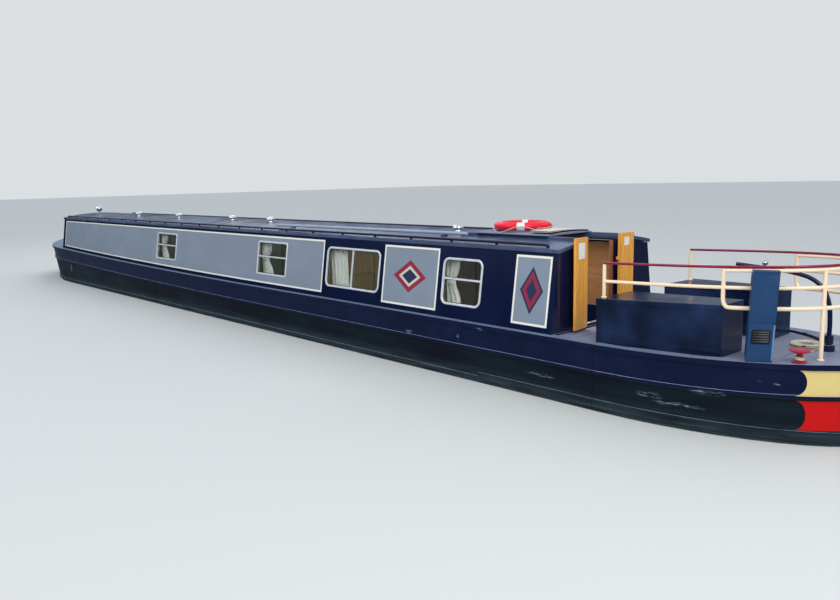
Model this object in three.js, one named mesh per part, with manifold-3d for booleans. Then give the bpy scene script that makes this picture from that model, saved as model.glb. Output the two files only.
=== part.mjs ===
// A steel narrowboat with a cruiser stern, in millimetres.
// The origin lies on the centreline at the waterline, near amidships. +X is the bow, +Y is port, +Z is up.
import * as THREE from "three";
import { mergeVertices } from "three/addons/utils/BufferGeometryUtils.js";
import Module from "manifold-3d";

const wasm = await Module();
wasm.setup();

// Driving dimensions of the whole boat
const LENGTH = 20530;
const BEAM = 2083;
const DRAUGHT = 560;
const FREEBOARD = 665; // gunwale above the water, amidships
const GUARD = 18; // how far the rubbing strips stand out of the plating
const SEAT = 0.3; // gap between pieces that touch
const X_STERN = -10330;
const X_STEM = X_STERN + LENGTH;
const X_AFT = -7440; // outer face of the rear bulkhead
const X_FWD = 7660; // outer face of the front bulkhead
const HALF = BEAM / 2 - GUARD; // half breadth of the plating
const DECK_Z = 652; // top of the stern deck boards

// Driving dimensions of the cabin
const CABIN_BASE_Y = 955; // outer face at gunwale height
const CABIN_TOP_Y = 830; // outer face at the roof
const CABIN_TOP_Z = 1490;
const DOOR_MID = 132; // the after doorway lies a little to port
const HATCH_MID = 60; // and so does the hatchway above it
const WALL = 40;
const BULKHEAD = 45;
const ROOF_THICK = 40;
const ROOF_EDGE_Y = 845;
const ROOF_EDGE_Z = CABIN_TOP_Z + ROOF_THICK;
const ROOF_CAMBER = 85;

// Colours
const NAVY = { color: 0x141c40, roughness: 0.25, metalness: 0.1 };
const BLACK = { color: 0x15171a, roughness: 0.6, metalness: 0.1 };
const CREAM = { color: 0xe6dfc0, roughness: 0.35, metalness: 0.1 };
const RED = { color: 0xb01424, roughness: 0.4, metalness: 0.1 };
const OAK = { color: 0xd0913f, roughness: 0.5, metalness: 0.0 };
const GREY = { color: 0x7d838c, roughness: 0.8, metalness: 0.0 };
const ALU = { color: 0xc9ccd0, roughness: 0.35, metalness: 0.8 };
const GLASS = { color: 0x3c4a50, roughness: 0.1, metalness: 0.0 };
const STEEL = { color: 0x8b8f94, roughness: 0.5, metalness: 0.8 };
const BRASS = { color: 0xb08d3c, roughness: 0.3, metalness: 0.9 };
const ROPE = { color: 0xd9d2bd, roughness: 0.9, metalness: 0.0 };

const boat = new THREE.Group();

function addMesh(name, geometry, look) {
  const mesh = new THREE.Mesh(geometry, new THREE.MeshStandardMaterial(look));
  mesh.name = name;
  boat.add(mesh);
  return mesh;
}

// A geometry as a closed solid that can be joined and cut
function solid(geometry) {
  const bare = geometry.clone();
  bare.deleteAttribute("normal");
  bare.deleteAttribute("uv");
  const merged = mergeVertices(bare, 1e-3);
  const source = merged.index.array;
  const kept = [];
  for (let i = 0; i < source.length; i += 3) {
    const [a, b, c] = [source[i], source[i + 1], source[i + 2]];
    if (a !== b && b !== c && a !== c) kept.push(a, b, c);
  }
  return new wasm.Manifold(
    new wasm.Mesh({
      numProp: 3,
      vertProperties: new Float32Array(merged.attributes.position.array),
      triVerts: new Uint32Array(kept),
    }),
  );
}

function geometryOf(manifold) {
  const mesh = manifold.getMesh();
  const geometry = new THREE.BufferGeometry();
  const step = mesh.numProp;
  const count = mesh.vertProperties.length / step;
  const positions = new Float32Array(count * 3);
  for (let i = 0; i < count; i++) {
    for (let k = 0; k < 3; k++) positions[i * 3 + k] = mesh.vertProperties[i * step + k];
  }
  geometry.setAttribute("position", new THREE.BufferAttribute(positions, 3));
  geometry.setIndex(new THREE.BufferAttribute(new Uint32Array(mesh.triVerts), 1));
  geometry.computeVertexNormals();
  return geometry;
}

function join(parts) {
  return parts.slice(1).reduce((sum, part) => sum.add(part), parts[0]);
}

function cut(body, holes) {
  return holes.reduce((rest, hole) => rest.subtract(hole), body);
}

function box(x0, x1, y0, y1, z0, z1) {
  const geometry = new THREE.BoxGeometry(x1 - x0, y1 - y0, z1 - z0);
  geometry.translate((x0 + x1) / 2, (y0 + y1) / 2, (z0 + z1) / 2);
  return solid(geometry);
}

// A round bar between two points
function bar(from, to, radius, sides = 16) {
  const a = new THREE.Vector3(...from);
  const b = new THREE.Vector3(...to);
  const along = b.clone().sub(a);
  const geometry = new THREE.CylinderGeometry(radius, radius, along.length(), sides);
  const turn = new THREE.Quaternion().setFromUnitVectors(new THREE.Vector3(0, 1, 0), along.clone().normalize());
  geometry.applyQuaternion(turn);
  geometry.translate(...a.add(b).multiplyScalar(0.5).toArray());
  return solid(geometry);
}

// A round tube along a smooth route
function tube(points, radius, sides, steps) {
  const route = new THREE.CatmullRomCurve3(points.map((p) => new THREE.Vector3(...p)), false, "centripetal");
  const ring = new THREE.Shape();
  ring.absarc(0, 0, radius, 0, Math.PI * 2, false);
  const geometry = new THREE.ExtrudeGeometry(ring, {
    steps,
    curveSegments: sides / 2,
    bevelEnabled: false,
    extrudePath: route,
  });
  return solid(geometry);
}

// An outline in the Y-Z plane, carried along X
function profileX(points, x0, x1) {
  const shape = new THREE.Shape(points.map(([y, z]) => new THREE.Vector2(y, z)));
  const geometry = new THREE.ExtrudeGeometry(shape, { depth: x1 - x0, bevelEnabled: false });
  geometry.applyMatrix4(new THREE.Matrix4().set(0, 0, 1, x0, 1, 0, 0, 0, 0, 1, 0, 0, 0, 0, 0, 1));
  return solid(geometry);
}

// An outline in the X-Z plane, carried along Y
function profileY(points, y0, y1) {
  const shape = new THREE.Shape(points.map(([x, z]) => new THREE.Vector2(x, z)));
  const geometry = new THREE.ExtrudeGeometry(shape, { depth: y1 - y0, bevelEnabled: false });
  geometry.applyMatrix4(new THREE.Matrix4().set(1, 0, 0, 0, 0, 0, -1, y1, 0, 1, 0, 0, 0, 0, 0, 1));
  return solid(geometry);
}

// An outline in the X-Y plane, carried along Z
function profileZ(points, z0, z1) {
  const shape = new THREE.Shape(points.map(([x, y]) => new THREE.Vector2(x, y)));
  const geometry = new THREE.ExtrudeGeometry(shape, { depth: z1 - z0, bevelEnabled: false });
  geometry.translate(0, 0, z0);
  return solid(geometry);
}

// A turned piece on a vertical axis, from [radius, height] pairs
function turned(pairs, x, y, z, sides = 24) {
  const geometry = new THREE.LatheGeometry(pairs.map(([r, h]) => new THREE.Vector2(r, h)), sides);
  geometry.rotateX(Math.PI / 2);
  geometry.translate(x, y, z);
  return solid(geometry);
}

function mirrored(manifold) {
  return manifold.mirror([0, 1, 0]);
}

// Height of the gunwale above the water along the boat
const SHEER_START = -2440;
const SHEER_LENGTH = 10400;
const SHEER_RISE = 144;
const STERN_SHEER_START = -8000;
const STERN_SHEER_RISE = 45;
function gunwaleZ(x) {
  const aft = Math.max(STERN_SHEER_START - x, 0) / (STERN_SHEER_START - X_STERN);
  if (x < SHEER_START) return FREEBOARD + STERN_SHEER_RISE * aft ** 2;
  return FREEBOARD + SHEER_RISE * ((x - SHEER_START) / SHEER_LENGTH) ** 2;
}

// Hull outlines, one for each level from the bottom up.
// half: half breadth. bow: where it begins to close, where it ends, and its power. stern: the same, end and power.
const STERN_START = -8100;
const STERN_POWER = 2.0;
const LEVELS = [
  { z: () => -DRAUGHT, half: HALF - 18, bow: [6300, 9250, 1.9], swim: [-5900, -9230, 2.0] },
  { z: () => -60, half: HALF - 11, bow: [7060, 9880, 2.0], swim: [-6200, -9230, 2.2] },
  { z: () => -60, half: HALF - 11, bow: [7060, 9880, 2.0], stern: X_STERN + 30 },
  { z: () => 60, half: HALF - 5, bow: [7120, 9930, 2.1], stern: X_STERN + 22 },
  { z: (x) => gunwaleZ(x) - 280, half: HALF, bow: [7400, 10080, 2.1], stern: X_STERN + GUARD },
  { z: (x) => gunwaleZ(x), half: HALF, bow: [7560, X_STEM - GUARD, 2.1], stern: X_STERN + GUARD },
];
const STEM_HALF = 20; // half thickness of the stem bar and the stern post
const MID_STATIONS = [-7440, -6440, -5200, -3900, -2440, -900, 700, 2300, 3900, 5200, 6300];
const STERN_STEPS = 12;
const BOW_STEPS = 12;

function bowHalf(level, t) {
  return Math.max(level.half * (1 - t ** level.bow[2]), STEM_HALF);
}

// The port side of one outline, from the stern to the stem
function portSide(level) {
  const points = [];
  for (let i = 0; i <= STERN_STEPS; i++) {
    const angle = (Math.PI / 2) * (1 - i / STERN_STEPS);
    const reach = Math.sin(angle) ** (2 / STERN_POWER);
    const side = Math.cos(angle) ** (2 / STERN_POWER);
    if (level.swim) {
      const x = STERN_START + (level.swim[1] - STERN_START) * reach;
      points.push([x, swimHalf(level, x)]);
    } else {
      points.push([STERN_START + (level.stern - STERN_START) * reach, Math.max(level.half * side, 1)]);
    }
  }
  for (const x of MID_STATIONS) points.push([x, level.swim ? swimHalf(level, x) : level.half]);
  for (let i = 0; i <= BOW_STEPS; i++) {
    const t = i / BOW_STEPS;
    points.push([level.bow[0] + (level.bow[1] - level.bow[0]) * t, bowHalf(level, t)]);
  }
  return points;
}

function swimHalf(level, x) {
  const [start, end, power] = level.swim;
  if (x >= start) return level.half;
  const t = Math.min((start - x) / (start - end), 1);
  return Math.max(level.half * (1 - t ** power), STEM_HALF);
}

// A closed body from a stack of outlines that all have the same number of points
function stack(levels) {
  const positions = [];
  const rows = levels.map((level) => portSide(level));
  const count = rows[0].length;
  const at = (row, i, sign) => [rows[row][i][0], sign * rows[row][i][1], levels[row].z(rows[row][i][0])];
  const triangle = (a, b, c) => positions.push(...a, ...b, ...c);
  const quad = (a, b, c, d) => {
    triangle(a, b, c);
    triangle(a, c, d);
  };
  for (let row = 0; row + 1 < levels.length; row++) {
    for (let i = 0; i + 1 < count; i++) {
      quad(at(row, i + 1, 1), at(row, i, 1), at(row + 1, i, 1), at(row + 1, i + 1, 1));
      quad(at(row, i, -1), at(row, i + 1, -1), at(row + 1, i + 1, -1), at(row + 1, i, -1));
    }
    quad(at(row, 0, 1), at(row, 0, -1), at(row + 1, 0, -1), at(row + 1, 0, 1));
    quad(at(row, count - 1, -1), at(row, count - 1, 1), at(row + 1, count - 1, 1), at(row + 1, count - 1, -1));
  }
  const top = levels.length - 1;
  for (let i = 0; i + 1 < count; i++) {
    quad(at(top, i, 1), at(top, i, -1), at(top, i + 1, -1), at(top, i + 1, 1));
    quad(at(0, i, -1), at(0, i, 1), at(0, i + 1, 1), at(0, i + 1, -1));
  }
  const geometry = new THREE.BufferGeometry();
  geometry.setAttribute("position", new THREE.Float32BufferAttribute(positions, 3));
  return solid(geometry);
}

// A strip round the hull: a thin slab a little wider than the plating
function strip(level, below, above) {
  const edge = { ...level, half: level.half + GUARD, stern: level.stern - GUARD };
  edge.bow = [level.bow[0], level.bow[1] + GUARD, level.bow[2]];
  return stack([
    { ...edge, z: (x) => level.z(x) - below },
    { ...edge, z: (x) => level.z(x) + above },
  ]);
}

// Hull
const FLOOR_Z = -380; // cabin sole
const HULL_POCKET_Y = 880;
const LOW_POCKET = { x0: -6700, x1: 6700, narrow: 640, top: 0 }; // below its top the room follows the swim and the bow
const WELL_Z = 250; // well deck
const WELL_AFT_Y = 850;
const WELL_FWD_Y = 480;
const WELL_FWD_X = 9000;
const ENGINE_BAY = { x0: -9300, x1: -7640, half: 740, z0: 0 };
const ENGINE_PIT = { x0: -8370, x1: -7660, half: 380, z0: FLOOR_Z };
const BOARD = 30; // thickness of the deck boards
const BOARD_STEPS = 8;
const BOARDS = { x0: -9690, curve: -8400, x1: -7460, half: 930, power: 2.2 };
const GAS_LOCKER = { x0: 9180, x1: 9560, half: 190, z0: 260 };
const RUDDER_X = -9760;
const STOCK_R = 25;
const SHAFT_Z = -300;
const STERN_POST_X = -9230;
const TUBE_END_X = -9290; // aft end of the stern tube

const strakeLevel = LEVELS[4];
const lowLevel = LEVELS[3];
const gunwaleLevel = LEVELS[5];
const COUNTER_BAND_X = -6480; // the doubled plate runs aft from here
const lowStrip = strip(lowLevel, 18, 18);
const counterBand = cut(strip(lowLevel, 10, 62), [box(COUNTER_BAND_X, X_STEM + 100, -1500, 1500, -500, 1500)]);
const hullBody = join([
  stack(LEVELS),
  strip(gunwaleLevel, 48, 0),
  strip(strakeLevel, 20, 20),
  lowStrip,
  counterBand,
  bar([STERN_POST_X + 60, 0, SHAFT_Z], [TUBE_END_X, 0, SHAFT_Z], 42),
  bar([RUDDER_X, 0, DECK_Z - 20], [RUDDER_X, 0, DECK_Z + 95], 52, 24),
]);
// The outline of the deck boards, square forward and rounded aft
function boardsOutline(inset) {
  const port = [[BOARDS.x1 - inset, BOARDS.half - inset]];
  const reach = BOARDS.curve - BOARDS.x0 - inset;
  for (let i = 0; i < BOARD_STEPS; i++) {
    const angle = (Math.PI / 2) * (i / BOARD_STEPS);
    const u = Math.sin(angle) ** (2 / BOARDS.power);
    const v = Math.cos(angle) ** (2 / BOARDS.power);
    port.push([BOARDS.curve - reach * u, (BOARDS.half - inset) * v]);
  }
  const starboard = [...port].reverse().map(([x, y]) => [x, -y]);
  return [...port, [BOARDS.x0 + inset, 0], ...starboard];
}
const wellOutline = [
  [X_FWD - BULKHEAD - SEAT, -WELL_AFT_Y],
  [X_FWD + 20, -WELL_AFT_Y],
  [WELL_FWD_X, -WELL_FWD_Y],
  [WELL_FWD_X, WELL_FWD_Y],
  [X_FWD + 20, WELL_AFT_Y],
  [X_FWD - BULKHEAD - SEAT, WELL_AFT_Y],
];
const hull = cut(hullBody, [
  box(X_AFT + BULKHEAD, X_FWD - BULKHEAD - SEAT + 1, -HULL_POCKET_Y, HULL_POCKET_Y, LOW_POCKET.top, 1500),
  box(X_AFT + BULKHEAD, X_FWD - BULKHEAD - SEAT + 1, -LOW_POCKET.narrow, LOW_POCKET.narrow, FLOOR_Z, 100),
  box(LOW_POCKET.x0, LOW_POCKET.x1, -HULL_POCKET_Y, HULL_POCKET_Y, FLOOR_Z, 100),
  profileZ(wellOutline, WELL_Z, 1500),
  box(ENGINE_BAY.x0, ENGINE_BAY.x1, -ENGINE_BAY.half, ENGINE_BAY.half, ENGINE_BAY.z0, 1500),
  box(ENGINE_PIT.x0, ENGINE_PIT.x1, -ENGINE_PIT.half, ENGINE_PIT.half, ENGINE_PIT.z0, 1500),
  profileZ(boardsOutline(0), DECK_Z - BOARD, 1500),
  box(GAS_LOCKER.x0, GAS_LOCKER.x1, -GAS_LOCKER.half, GAS_LOCKER.half, GAS_LOCKER.z0, 1500),
  bar([RUDDER_X, 0, -DRAUGHT], [RUDDER_X, 0, DECK_Z + 200], STOCK_R + 2, 24),
]);
addMesh("hull", geometryOf(hull), NAVY);

// Skeg: the bar that carries the foot of the rudder
const SKEG_TOP = -DRAUGHT + 25;
const skeg = join([
  box(RUDDER_X - 40, STERN_POST_X - 30 - SEAT, -38, 38, -DRAUGHT, SKEG_TOP),
  bar([RUDDER_X, 0, -DRAUGHT], [RUDDER_X, 0, SKEG_TOP], 55, 24),
  box(STERN_POST_X - 50, STERN_POST_X - SEAT, -STEM_HALF + 2, STEM_HALF - 2, -DRAUGHT, SKEG_TOP + 60),
]);
addMesh("skeg", geometryOf(skeg), BLACK);

// Propeller and its shaft
const PROP_R = 212;
const PROP_X = -9390;
const BLADES = 3;
function propellerBlade(turn) {
  const blade = new THREE.Shape();
  blade.moveTo(-18, 30);
  blade.bezierCurveTo(-110, 90, -120, 190, -20, PROP_R);
  blade.bezierCurveTo(70, 200, 95, 110, 22, 30);
  const geometry = new THREE.ExtrudeGeometry(blade, { depth: 10, bevelEnabled: false, curveSegments: 8 });
  geometry.translate(0, 0, -5);
  geometry.rotateY(Math.PI / 2 + 0.55);
  geometry.rotateX(turn);
  geometry.translate(PROP_X, 0, SHAFT_Z);
  return solid(geometry);
}
const propeller = join([
  bar([TUBE_END_X - SEAT, 0, SHAFT_Z], [PROP_X - 60, 0, SHAFT_Z], 19),
  bar([PROP_X + 48, 0, SHAFT_Z], [PROP_X - 42, 0, SHAFT_Z], 44, 20),
  ...Array.from({ length: BLADES }, (_, i) => propellerBlade((i * 2 * Math.PI) / BLADES)),
]);
addMesh("propeller", geometryOf(propeller), BRASS);

// Rudder, its stock and the swan neck with the tiller bar, all one piece
const RUDDER_BLADE = { fwd: RUDDER_X + 160, aft: RUDDER_X - 400, z0: -510, z1: -100, half: 10 };
const TILLER_Z = 1385;
const rudder = join([
  box(RUDDER_BLADE.aft, RUDDER_BLADE.fwd, -RUDDER_BLADE.half, RUDDER_BLADE.half, RUDDER_BLADE.z0, RUDDER_BLADE.z1),
  bar([RUDDER_X, 0, SKEG_TOP + SEAT], [RUDDER_X, 0, 800], STOCK_R, 24),
  bar([RUDDER_X, 0, 760], [RUDDER_X, 0, 830], 38, 24),
  tube(
    [
      [RUDDER_X, 0, 790],
      [RUDDER_X, 0, 960],
      [RUDDER_X + 15, 0, 1110],
      [RUDDER_X + 70, 0, 1240],
      [RUDDER_X + 170, 0, 1320],
      [RUDDER_X + 330, 0, TILLER_Z - 22],
      [RUDDER_X + 520, 0, TILLER_Z],
    ],
    20,
    12,
    24,
  ),
  bar([RUDDER_X + 500, 0, TILLER_Z - 1], [RUDDER_X + 860, 0, TILLER_Z + 24], 17, 16),
]);
addMesh("rudder_and_tiller", geometryOf(rudder), NAVY);

// Engine: one plain block in the bay
const engine = box(-8320, -7700, -300, 300, FLOOR_Z + SEAT, 300);
addMesh("engine", geometryOf(engine), GREY);

// Stern deck boards round the engine hatch
const ENGINE_HATCH = { x0: -8760, x1: -7810, half: 285, lap: 25, thick: 14 };
const boards = cut(
  profileZ(boardsOutline(SEAT), DECK_Z - BOARD + SEAT, DECK_Z),
  [
    box(
      ENGINE_HATCH.x0 + ENGINE_HATCH.lap,
      ENGINE_HATCH.x1 - ENGINE_HATCH.lap,
      -ENGINE_HATCH.half + ENGINE_HATCH.lap,
      ENGINE_HATCH.half - ENGINE_HATCH.lap,
      0,
      900,
    ),
  ],
);
addMesh("stern_deck", geometryOf(boards), GREY);
const engineHatch = box(
  ENGINE_HATCH.x0,
  ENGINE_HATCH.x1,
  -ENGINE_HATCH.half,
  ENGINE_HATCH.half,
  DECK_Z + SEAT,
  DECK_Z + ENGINE_HATCH.thick,
);
addMesh("engine_hatch", geometryOf(engineHatch), GREY);

// Cabin sides, leaning in towards the roof
const LEAN = (CABIN_BASE_Y - CABIN_TOP_Y) / (CABIN_TOP_Z - FREEBOARD);
const sideY = (z) => CABIN_BASE_Y - LEAN * (z - FREEBOARD);
const SIDE_STATIONS = [...MID_STATIONS, LEVELS[5].bow[0], X_FWD];

function cabinSide() {
  const positions = [];
  const rings = SIDE_STATIONS.map((x) => {
    const z = gunwaleZ(x) + SEAT;
    return [
      [x, sideY(z) - WALL, z],
      [x, sideY(z), z],
      [x, CABIN_TOP_Y, CABIN_TOP_Z],
      [x, CABIN_TOP_Y - WALL, CABIN_TOP_Z],
    ];
  });
  const quad = (a, b, c, d) => positions.push(...a, ...b, ...c, ...a, ...c, ...d);
  for (let i = 0; i + 1 < rings.length; i++) {
    for (let k = 0; k < 4; k++) {
      const next = (k + 1) % 4;
      quad(rings[i][k], rings[i][next], rings[i + 1][next], rings[i + 1][k]);
    }
  }
  const first = rings[0];
  const last = rings[rings.length - 1];
  quad(first[3], first[2], first[1], first[0]);
  quad(last[0], last[1], last[2], last[3]);
  const geometry = new THREE.BufferGeometry();
  geometry.setAttribute("position", new THREE.Float32BufferAttribute(positions, 3));
  const made = solid(geometry);
  return made;
}

// Windows on each side: outer size of the frame, corner radius
// bar is the height of the bar under the hopper light, and 0 where a mullion parts two sliding lights
const WINDOWS = [
  { name: "window_1", x0: 1340, x1: 2200, z0: 868, z1: 1368, corner: 35, bar: 1140 },
  { name: "window_2", x0: -2420, x1: -1570, z0: 850, z1: 1372, corner: 35, bar: 1135 },
  { name: "window_3", x0: -4620, x1: -3440, z0: 820, z1: 1372, corner: 90, bar: 0 },
  { name: "window_4", x0: -6420, x1: -5780, z0: 815, z1: 1362, corner: 90, bar: 1120 },
];
const FRAME_LAP = 14; // how far the frame covers the wall round its hole
const FRAME_PROUD = 8;
const FRAME_WIDE = 28;

function roundedOutline(x0, x1, z0, z1, r) {
  if (r === 0) return new THREE.Shape([x0, x1, x1, x0].map((x, i) => new THREE.Vector2(x, i < 2 ? z0 : z1)));
  const shape = new THREE.Shape();
  shape.moveTo(x0 + r, z0);
  shape.lineTo(x1 - r, z0);
  shape.absarc(x1 - r, z0 + r, r, -Math.PI / 2, 0, false);
  shape.lineTo(x1, z1 - r);
  shape.absarc(x1 - r, z1 - r, r, 0, Math.PI / 2, false);
  shape.lineTo(x0 + r, z1);
  shape.absarc(x0 + r, z1 - r, r, Math.PI / 2, Math.PI, false);
  shape.lineTo(x0, z0 + r);
  shape.absarc(x0 + r, z0 + r, r, Math.PI, Math.PI * 1.5, false);
  return shape;
}

// A slab with a rounded outline, laid along the leaning cabin side.
// near and far are distances outwards from the outer face of the wall.
const LEAN_ANGLE = Math.atan(LEAN);
function sideSlab(win, inset, near, far) {
  const rise = 1 / Math.cos(LEAN_ANGLE);
  const zLow = (win.z0 + inset - FREEBOARD) * rise;
  const zHigh = (win.z1 - inset - FREEBOARD) * rise;
  const radius = win.corner === 0 ? 0 : Math.max(win.corner - inset, 12);
  const shape = roundedOutline(win.x0 + inset, win.x1 - inset, zLow, zHigh, radius);
  const geometry = new THREE.ExtrudeGeometry(shape, { depth: far - near, bevelEnabled: false, curveSegments: 2 });
  geometry.translate(0, 0, near);
  geometry.rotateX(Math.PI / 2);
  geometry.scale(1, -1, 1);
  const index = geometry.index;
  if (index) throw new Error("the slab is expected without an index");
  const p = geometry.attributes.position.array;
  for (let i = 0; i < p.length; i += 9) {
    for (let k = 0; k < 3; k++) [p[i + 3 + k], p[i + 6 + k]] = [p[i + 6 + k], p[i + 3 + k]];
  }
  geometry.rotateX(LEAN_ANGLE);
  geometry.translate(0, CABIN_BASE_Y, FREEBOARD);
  return solid(geometry);
}

const sidePort = cut(
  cabinSide(),
  WINDOWS.map((win) => sideSlab(win, FRAME_LAP, -WALL - 60, 60)),
);
addMesh("cabin_side_port", geometryOf(sidePort), NAVY);
addMesh("cabin_side_starboard", geometryOf(mirrored(sidePort)), NAVY);

const PANE = { behind: -20, face: -14 };
const BAR_HALF = 12;
const DIVIDER_IN = FRAME_WIDE - 6;
// The bar across a window, or its mullion, as one more slab
function divider(win) {
  const middle = (win.x0 + win.x1) / 2;
  const edges = win.bar
    ? { x0: win.x0 + DIVIDER_IN, x1: win.x1 - DIVIDER_IN, z0: win.bar - BAR_HALF, z1: win.bar + BAR_HALF }
    : { x0: middle - BAR_HALF, x1: middle + BAR_HALF, z0: win.z0 + DIVIDER_IN, z1: win.z1 - DIVIDER_IN };
  return sideSlab({ ...edges, corner: 0 }, 0, PANE.behind + 3, FRAME_PROUD - 3);
}
for (const win of WINDOWS) {
  const frame = sideSlab(win, 0, SEAT, FRAME_PROUD);
  const neck = sideSlab(win, FRAME_LAP + 1, PANE.behind, SEAT + 2);
  const unit = cut(frame.add(neck), [sideSlab(win, FRAME_WIDE, PANE.face, FRAME_PROUD + 20)]).add(divider(win));
  addMesh(`${win.name}_port`, geometryOf(unit), GLASS);
  addMesh(`${win.name}_starboard`, geometryOf(mirrored(unit)), GLASS);
}

// Curtains drawn to the fore side of each window, on one long rail with brackets to the cabin side
const CURTAIN = { z: 1402, off: 32, r: 8, thick: 6, wave: 14, pitch: 90, below: 20, part: 0.3 };
const curtainY = sideY(CURTAIN.z) - WALL - CURTAIN.off;
function curtain(win) {
  const from = win.x1 + 40;
  const to = win.x1 - (win.x1 - win.x0) * CURTAIN.part;
  const count = Math.round((from - to) / (CURTAIN.pitch / 4));
  const near = [];
  const far = [];
  for (let i = 0; i <= count; i++) {
    const x = to + ((from - to) * i) / count;
    const y = curtainY + CURTAIN.wave * Math.sin((x / CURTAIN.pitch) * Math.PI * 2);
    near.push([x, y - CURTAIN.thick / 2]);
    far.push([x, y + CURTAIN.thick / 2]);
  }
  return profileZ([...near, ...far.reverse()], win.z0 - CURTAIN.below, CURTAIN.z + 5);
}
const bracket = (x) =>
  box(x - 12, x + 12, curtainY, sideY(CURTAIN.z + 6) - WALL - SEAT, CURTAIN.z - 6, CURTAIN.z + 6);
const curtains = join([
  bar([WINDOWS[3].x0 - 60, curtainY, CURTAIN.z], [WINDOWS[0].x1 + 90, curtainY, CURTAIN.z], CURTAIN.r, 8),
  ...WINDOWS.map(curtain),
  ...WINDOWS.flatMap((win) => [bracket(win.x0 - 40), bracket(win.x1 + 70)]),
]);
addMesh("curtains_port", geometryOf(curtains), CREAM);
addMesh("curtains_starboard", geometryOf(mirrored(curtains)), CREAM);

// Roof: a cambered plate, notched at the after end for the sliding hatch, with its vents and hatch runners
const roofZ = (y) => ROOF_EDGE_Z + ROOF_CAMBER * (1 - (y / ROOF_EDGE_Y) ** 2);
const ROOF_STEPS = 10;
// The height of the roof as it is built, from flat strips
function roofTop(y) {
  const wide = (2 * ROOF_EDGE_Y) / ROOF_STEPS;
  const place = (y + ROOF_EDGE_Y) / wide;
  const i = Math.min(Math.floor(place), ROOF_STEPS - 1);
  const z0 = roofZ(-ROOF_EDGE_Y + i * wide);
  const z1 = roofZ(-ROOF_EDGE_Y + (i + 1) * wide);
  return z0 + (z1 - z0) * (place - i);
}
function cambered(half, topOf, bottomOf) {
  const points = [];
  for (let i = 0; i <= ROOF_STEPS; i++) {
    const y = -half + (2 * half * i) / ROOF_STEPS;
    points.push([y, bottomOf(y)]);
  }
  for (let i = ROOF_STEPS; i >= 0; i--) {
    const y = -half + (2 * half * i) / ROOF_STEPS;
    points.push([y, topOf(y)]);
  }
  return points;
}
const ROOF_UNDER = ROOF_THICK - SEAT;
const roofPlate = profileX(
  cambered(ROOF_EDGE_Y, roofZ, (y) => Math.max(roofZ(y) - ROOF_UNDER, CABIN_TOP_Z + SEAT)),
  X_AFT - 22,
  X_FWD + 22,
);
const HATCH_OPENING = { x1: -6560, half: 330 };
const DOOR_SWEEP = { y0: -160, y1: 422 }; // the roof's overhang stops here, so that the doors can shut
const HATCH = { x0: -7000, x1: -5950, half: 412, thick: 12, crown: 20, skirt: 14 };
const RUNNER = { y0: 368, y1: 388, height: 20, x1: -5650 };
const RUNNER_TOP = roofZ(HATCH_MID - RUNNER.y0) + RUNNER.height;
function runner(y0) {
  return box(X_AFT - 10, RUNNER.x1, y0, y0 + RUNNER.y1 - RUNNER.y0, roofZ(HATCH_MID + RUNNER.y1) - 10, RUNNER_TOP);
}
const VENT_Y = 230;
const VENT_XS = [-5400, -940, 360, 2560, 4560];
const vent = (x) =>
  turned(
    [
      [0, -20],
      [45, -20],
      [45, 42],
      [76, 48],
      [70, 68],
      [40, 84],
      [0, 90],
    ],
    x,
    VENT_Y,
    roofZ(VENT_Y),
    20,
  );
const POLE = { x0: -5890, x1: -1900, y0: 560, y1: 690, r: 22, chocks: [-5500, -2300], above: 14 };
const POLE_Z = roofTop(POLE.y0 - POLE.r) + POLE.above + POLE.r;
const poleY = (x) => POLE.y0 + ((POLE.y1 - POLE.y0) * (x - POLE.x0)) / (POLE.x1 - POLE.x0);
const chock = (x) => box(x - 20, x + 20, poleY(x) - 45, poleY(x) + 45, roofTop(poleY(x) + 45) - 8, POLE_Z - POLE.r - SEAT);
const roof = join([
  cut(roofPlate, [
    box(X_AFT - 50, HATCH_OPENING.x1, HATCH_MID - HATCH_OPENING.half, HATCH_MID + HATCH_OPENING.half, 1000, 2000),
    box(X_AFT - 50, X_AFT, DOOR_SWEEP.y0, DOOR_SWEEP.y1, 1000, 2000),
  ]),
  runner(HATCH_MID + RUNNER.y0),
  runner(HATCH_MID - RUNNER.y1),
  ...VENT_XS.map(vent),
  ...POLE.chocks.map(chock),
]);
addMesh("roof", geometryOf(roof), NAVY);

// Sliding hatch, lying open on its runners
const hatchBase = RUNNER_TOP + SEAT;
const hatchCrown = (y) => HATCH.crown * (1 - (y / HATCH.half) ** 2);
const hatchTop = (y) => hatchBase + HATCH.thick + hatchCrown(y);
const HATCH_LIP = { half: 350, height: 14, thick: 14 };
const hatchSkirt = (y0) =>
  box(HATCH.x0, HATCH.x1, y0, y0 + HATCH.skirt, roofZ(HATCH_MID - HATCH.half) + 8, hatchBase + 6);
const hatch = join([
  profileX(cambered(HATCH.half, hatchTop, () => hatchBase), HATCH.x0, HATCH.x1),
  hatchSkirt(HATCH.half - HATCH.skirt),
  hatchSkirt(-HATCH.half),
  profileX(
    cambered(HATCH_LIP.half, (y) => hatchTop(y) + HATCH_LIP.height, (y) => hatchTop(y) - 6),
    HATCH.x0,
    HATCH.x0 + HATCH_LIP.thick,
  ),
]).translate([0, HATCH_MID, 0]);
addMesh("sliding_hatch", geometryOf(hatch), NAVY);

// Lifebuoy lying on the open hatch
const BUOY = { x: -6345, y: 90, r: 285, tube: 50 };
const buoyRing = [];
for (let i = 0; i <= 12; i++) {
  const angle = (i / 12) * Math.PI * 2;
  buoyRing.push([BUOY.r + Math.cos(angle) * (BUOY.tube + 8), Math.sin(angle) * BUOY.tube]);
}
const buoyZ = hatchTop(0) + BUOY.tube + SEAT;
addMesh("lifebuoy", geometryOf(turned(buoyRing, BUOY.x, BUOY.y, buoyZ, 32)), RED);

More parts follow.
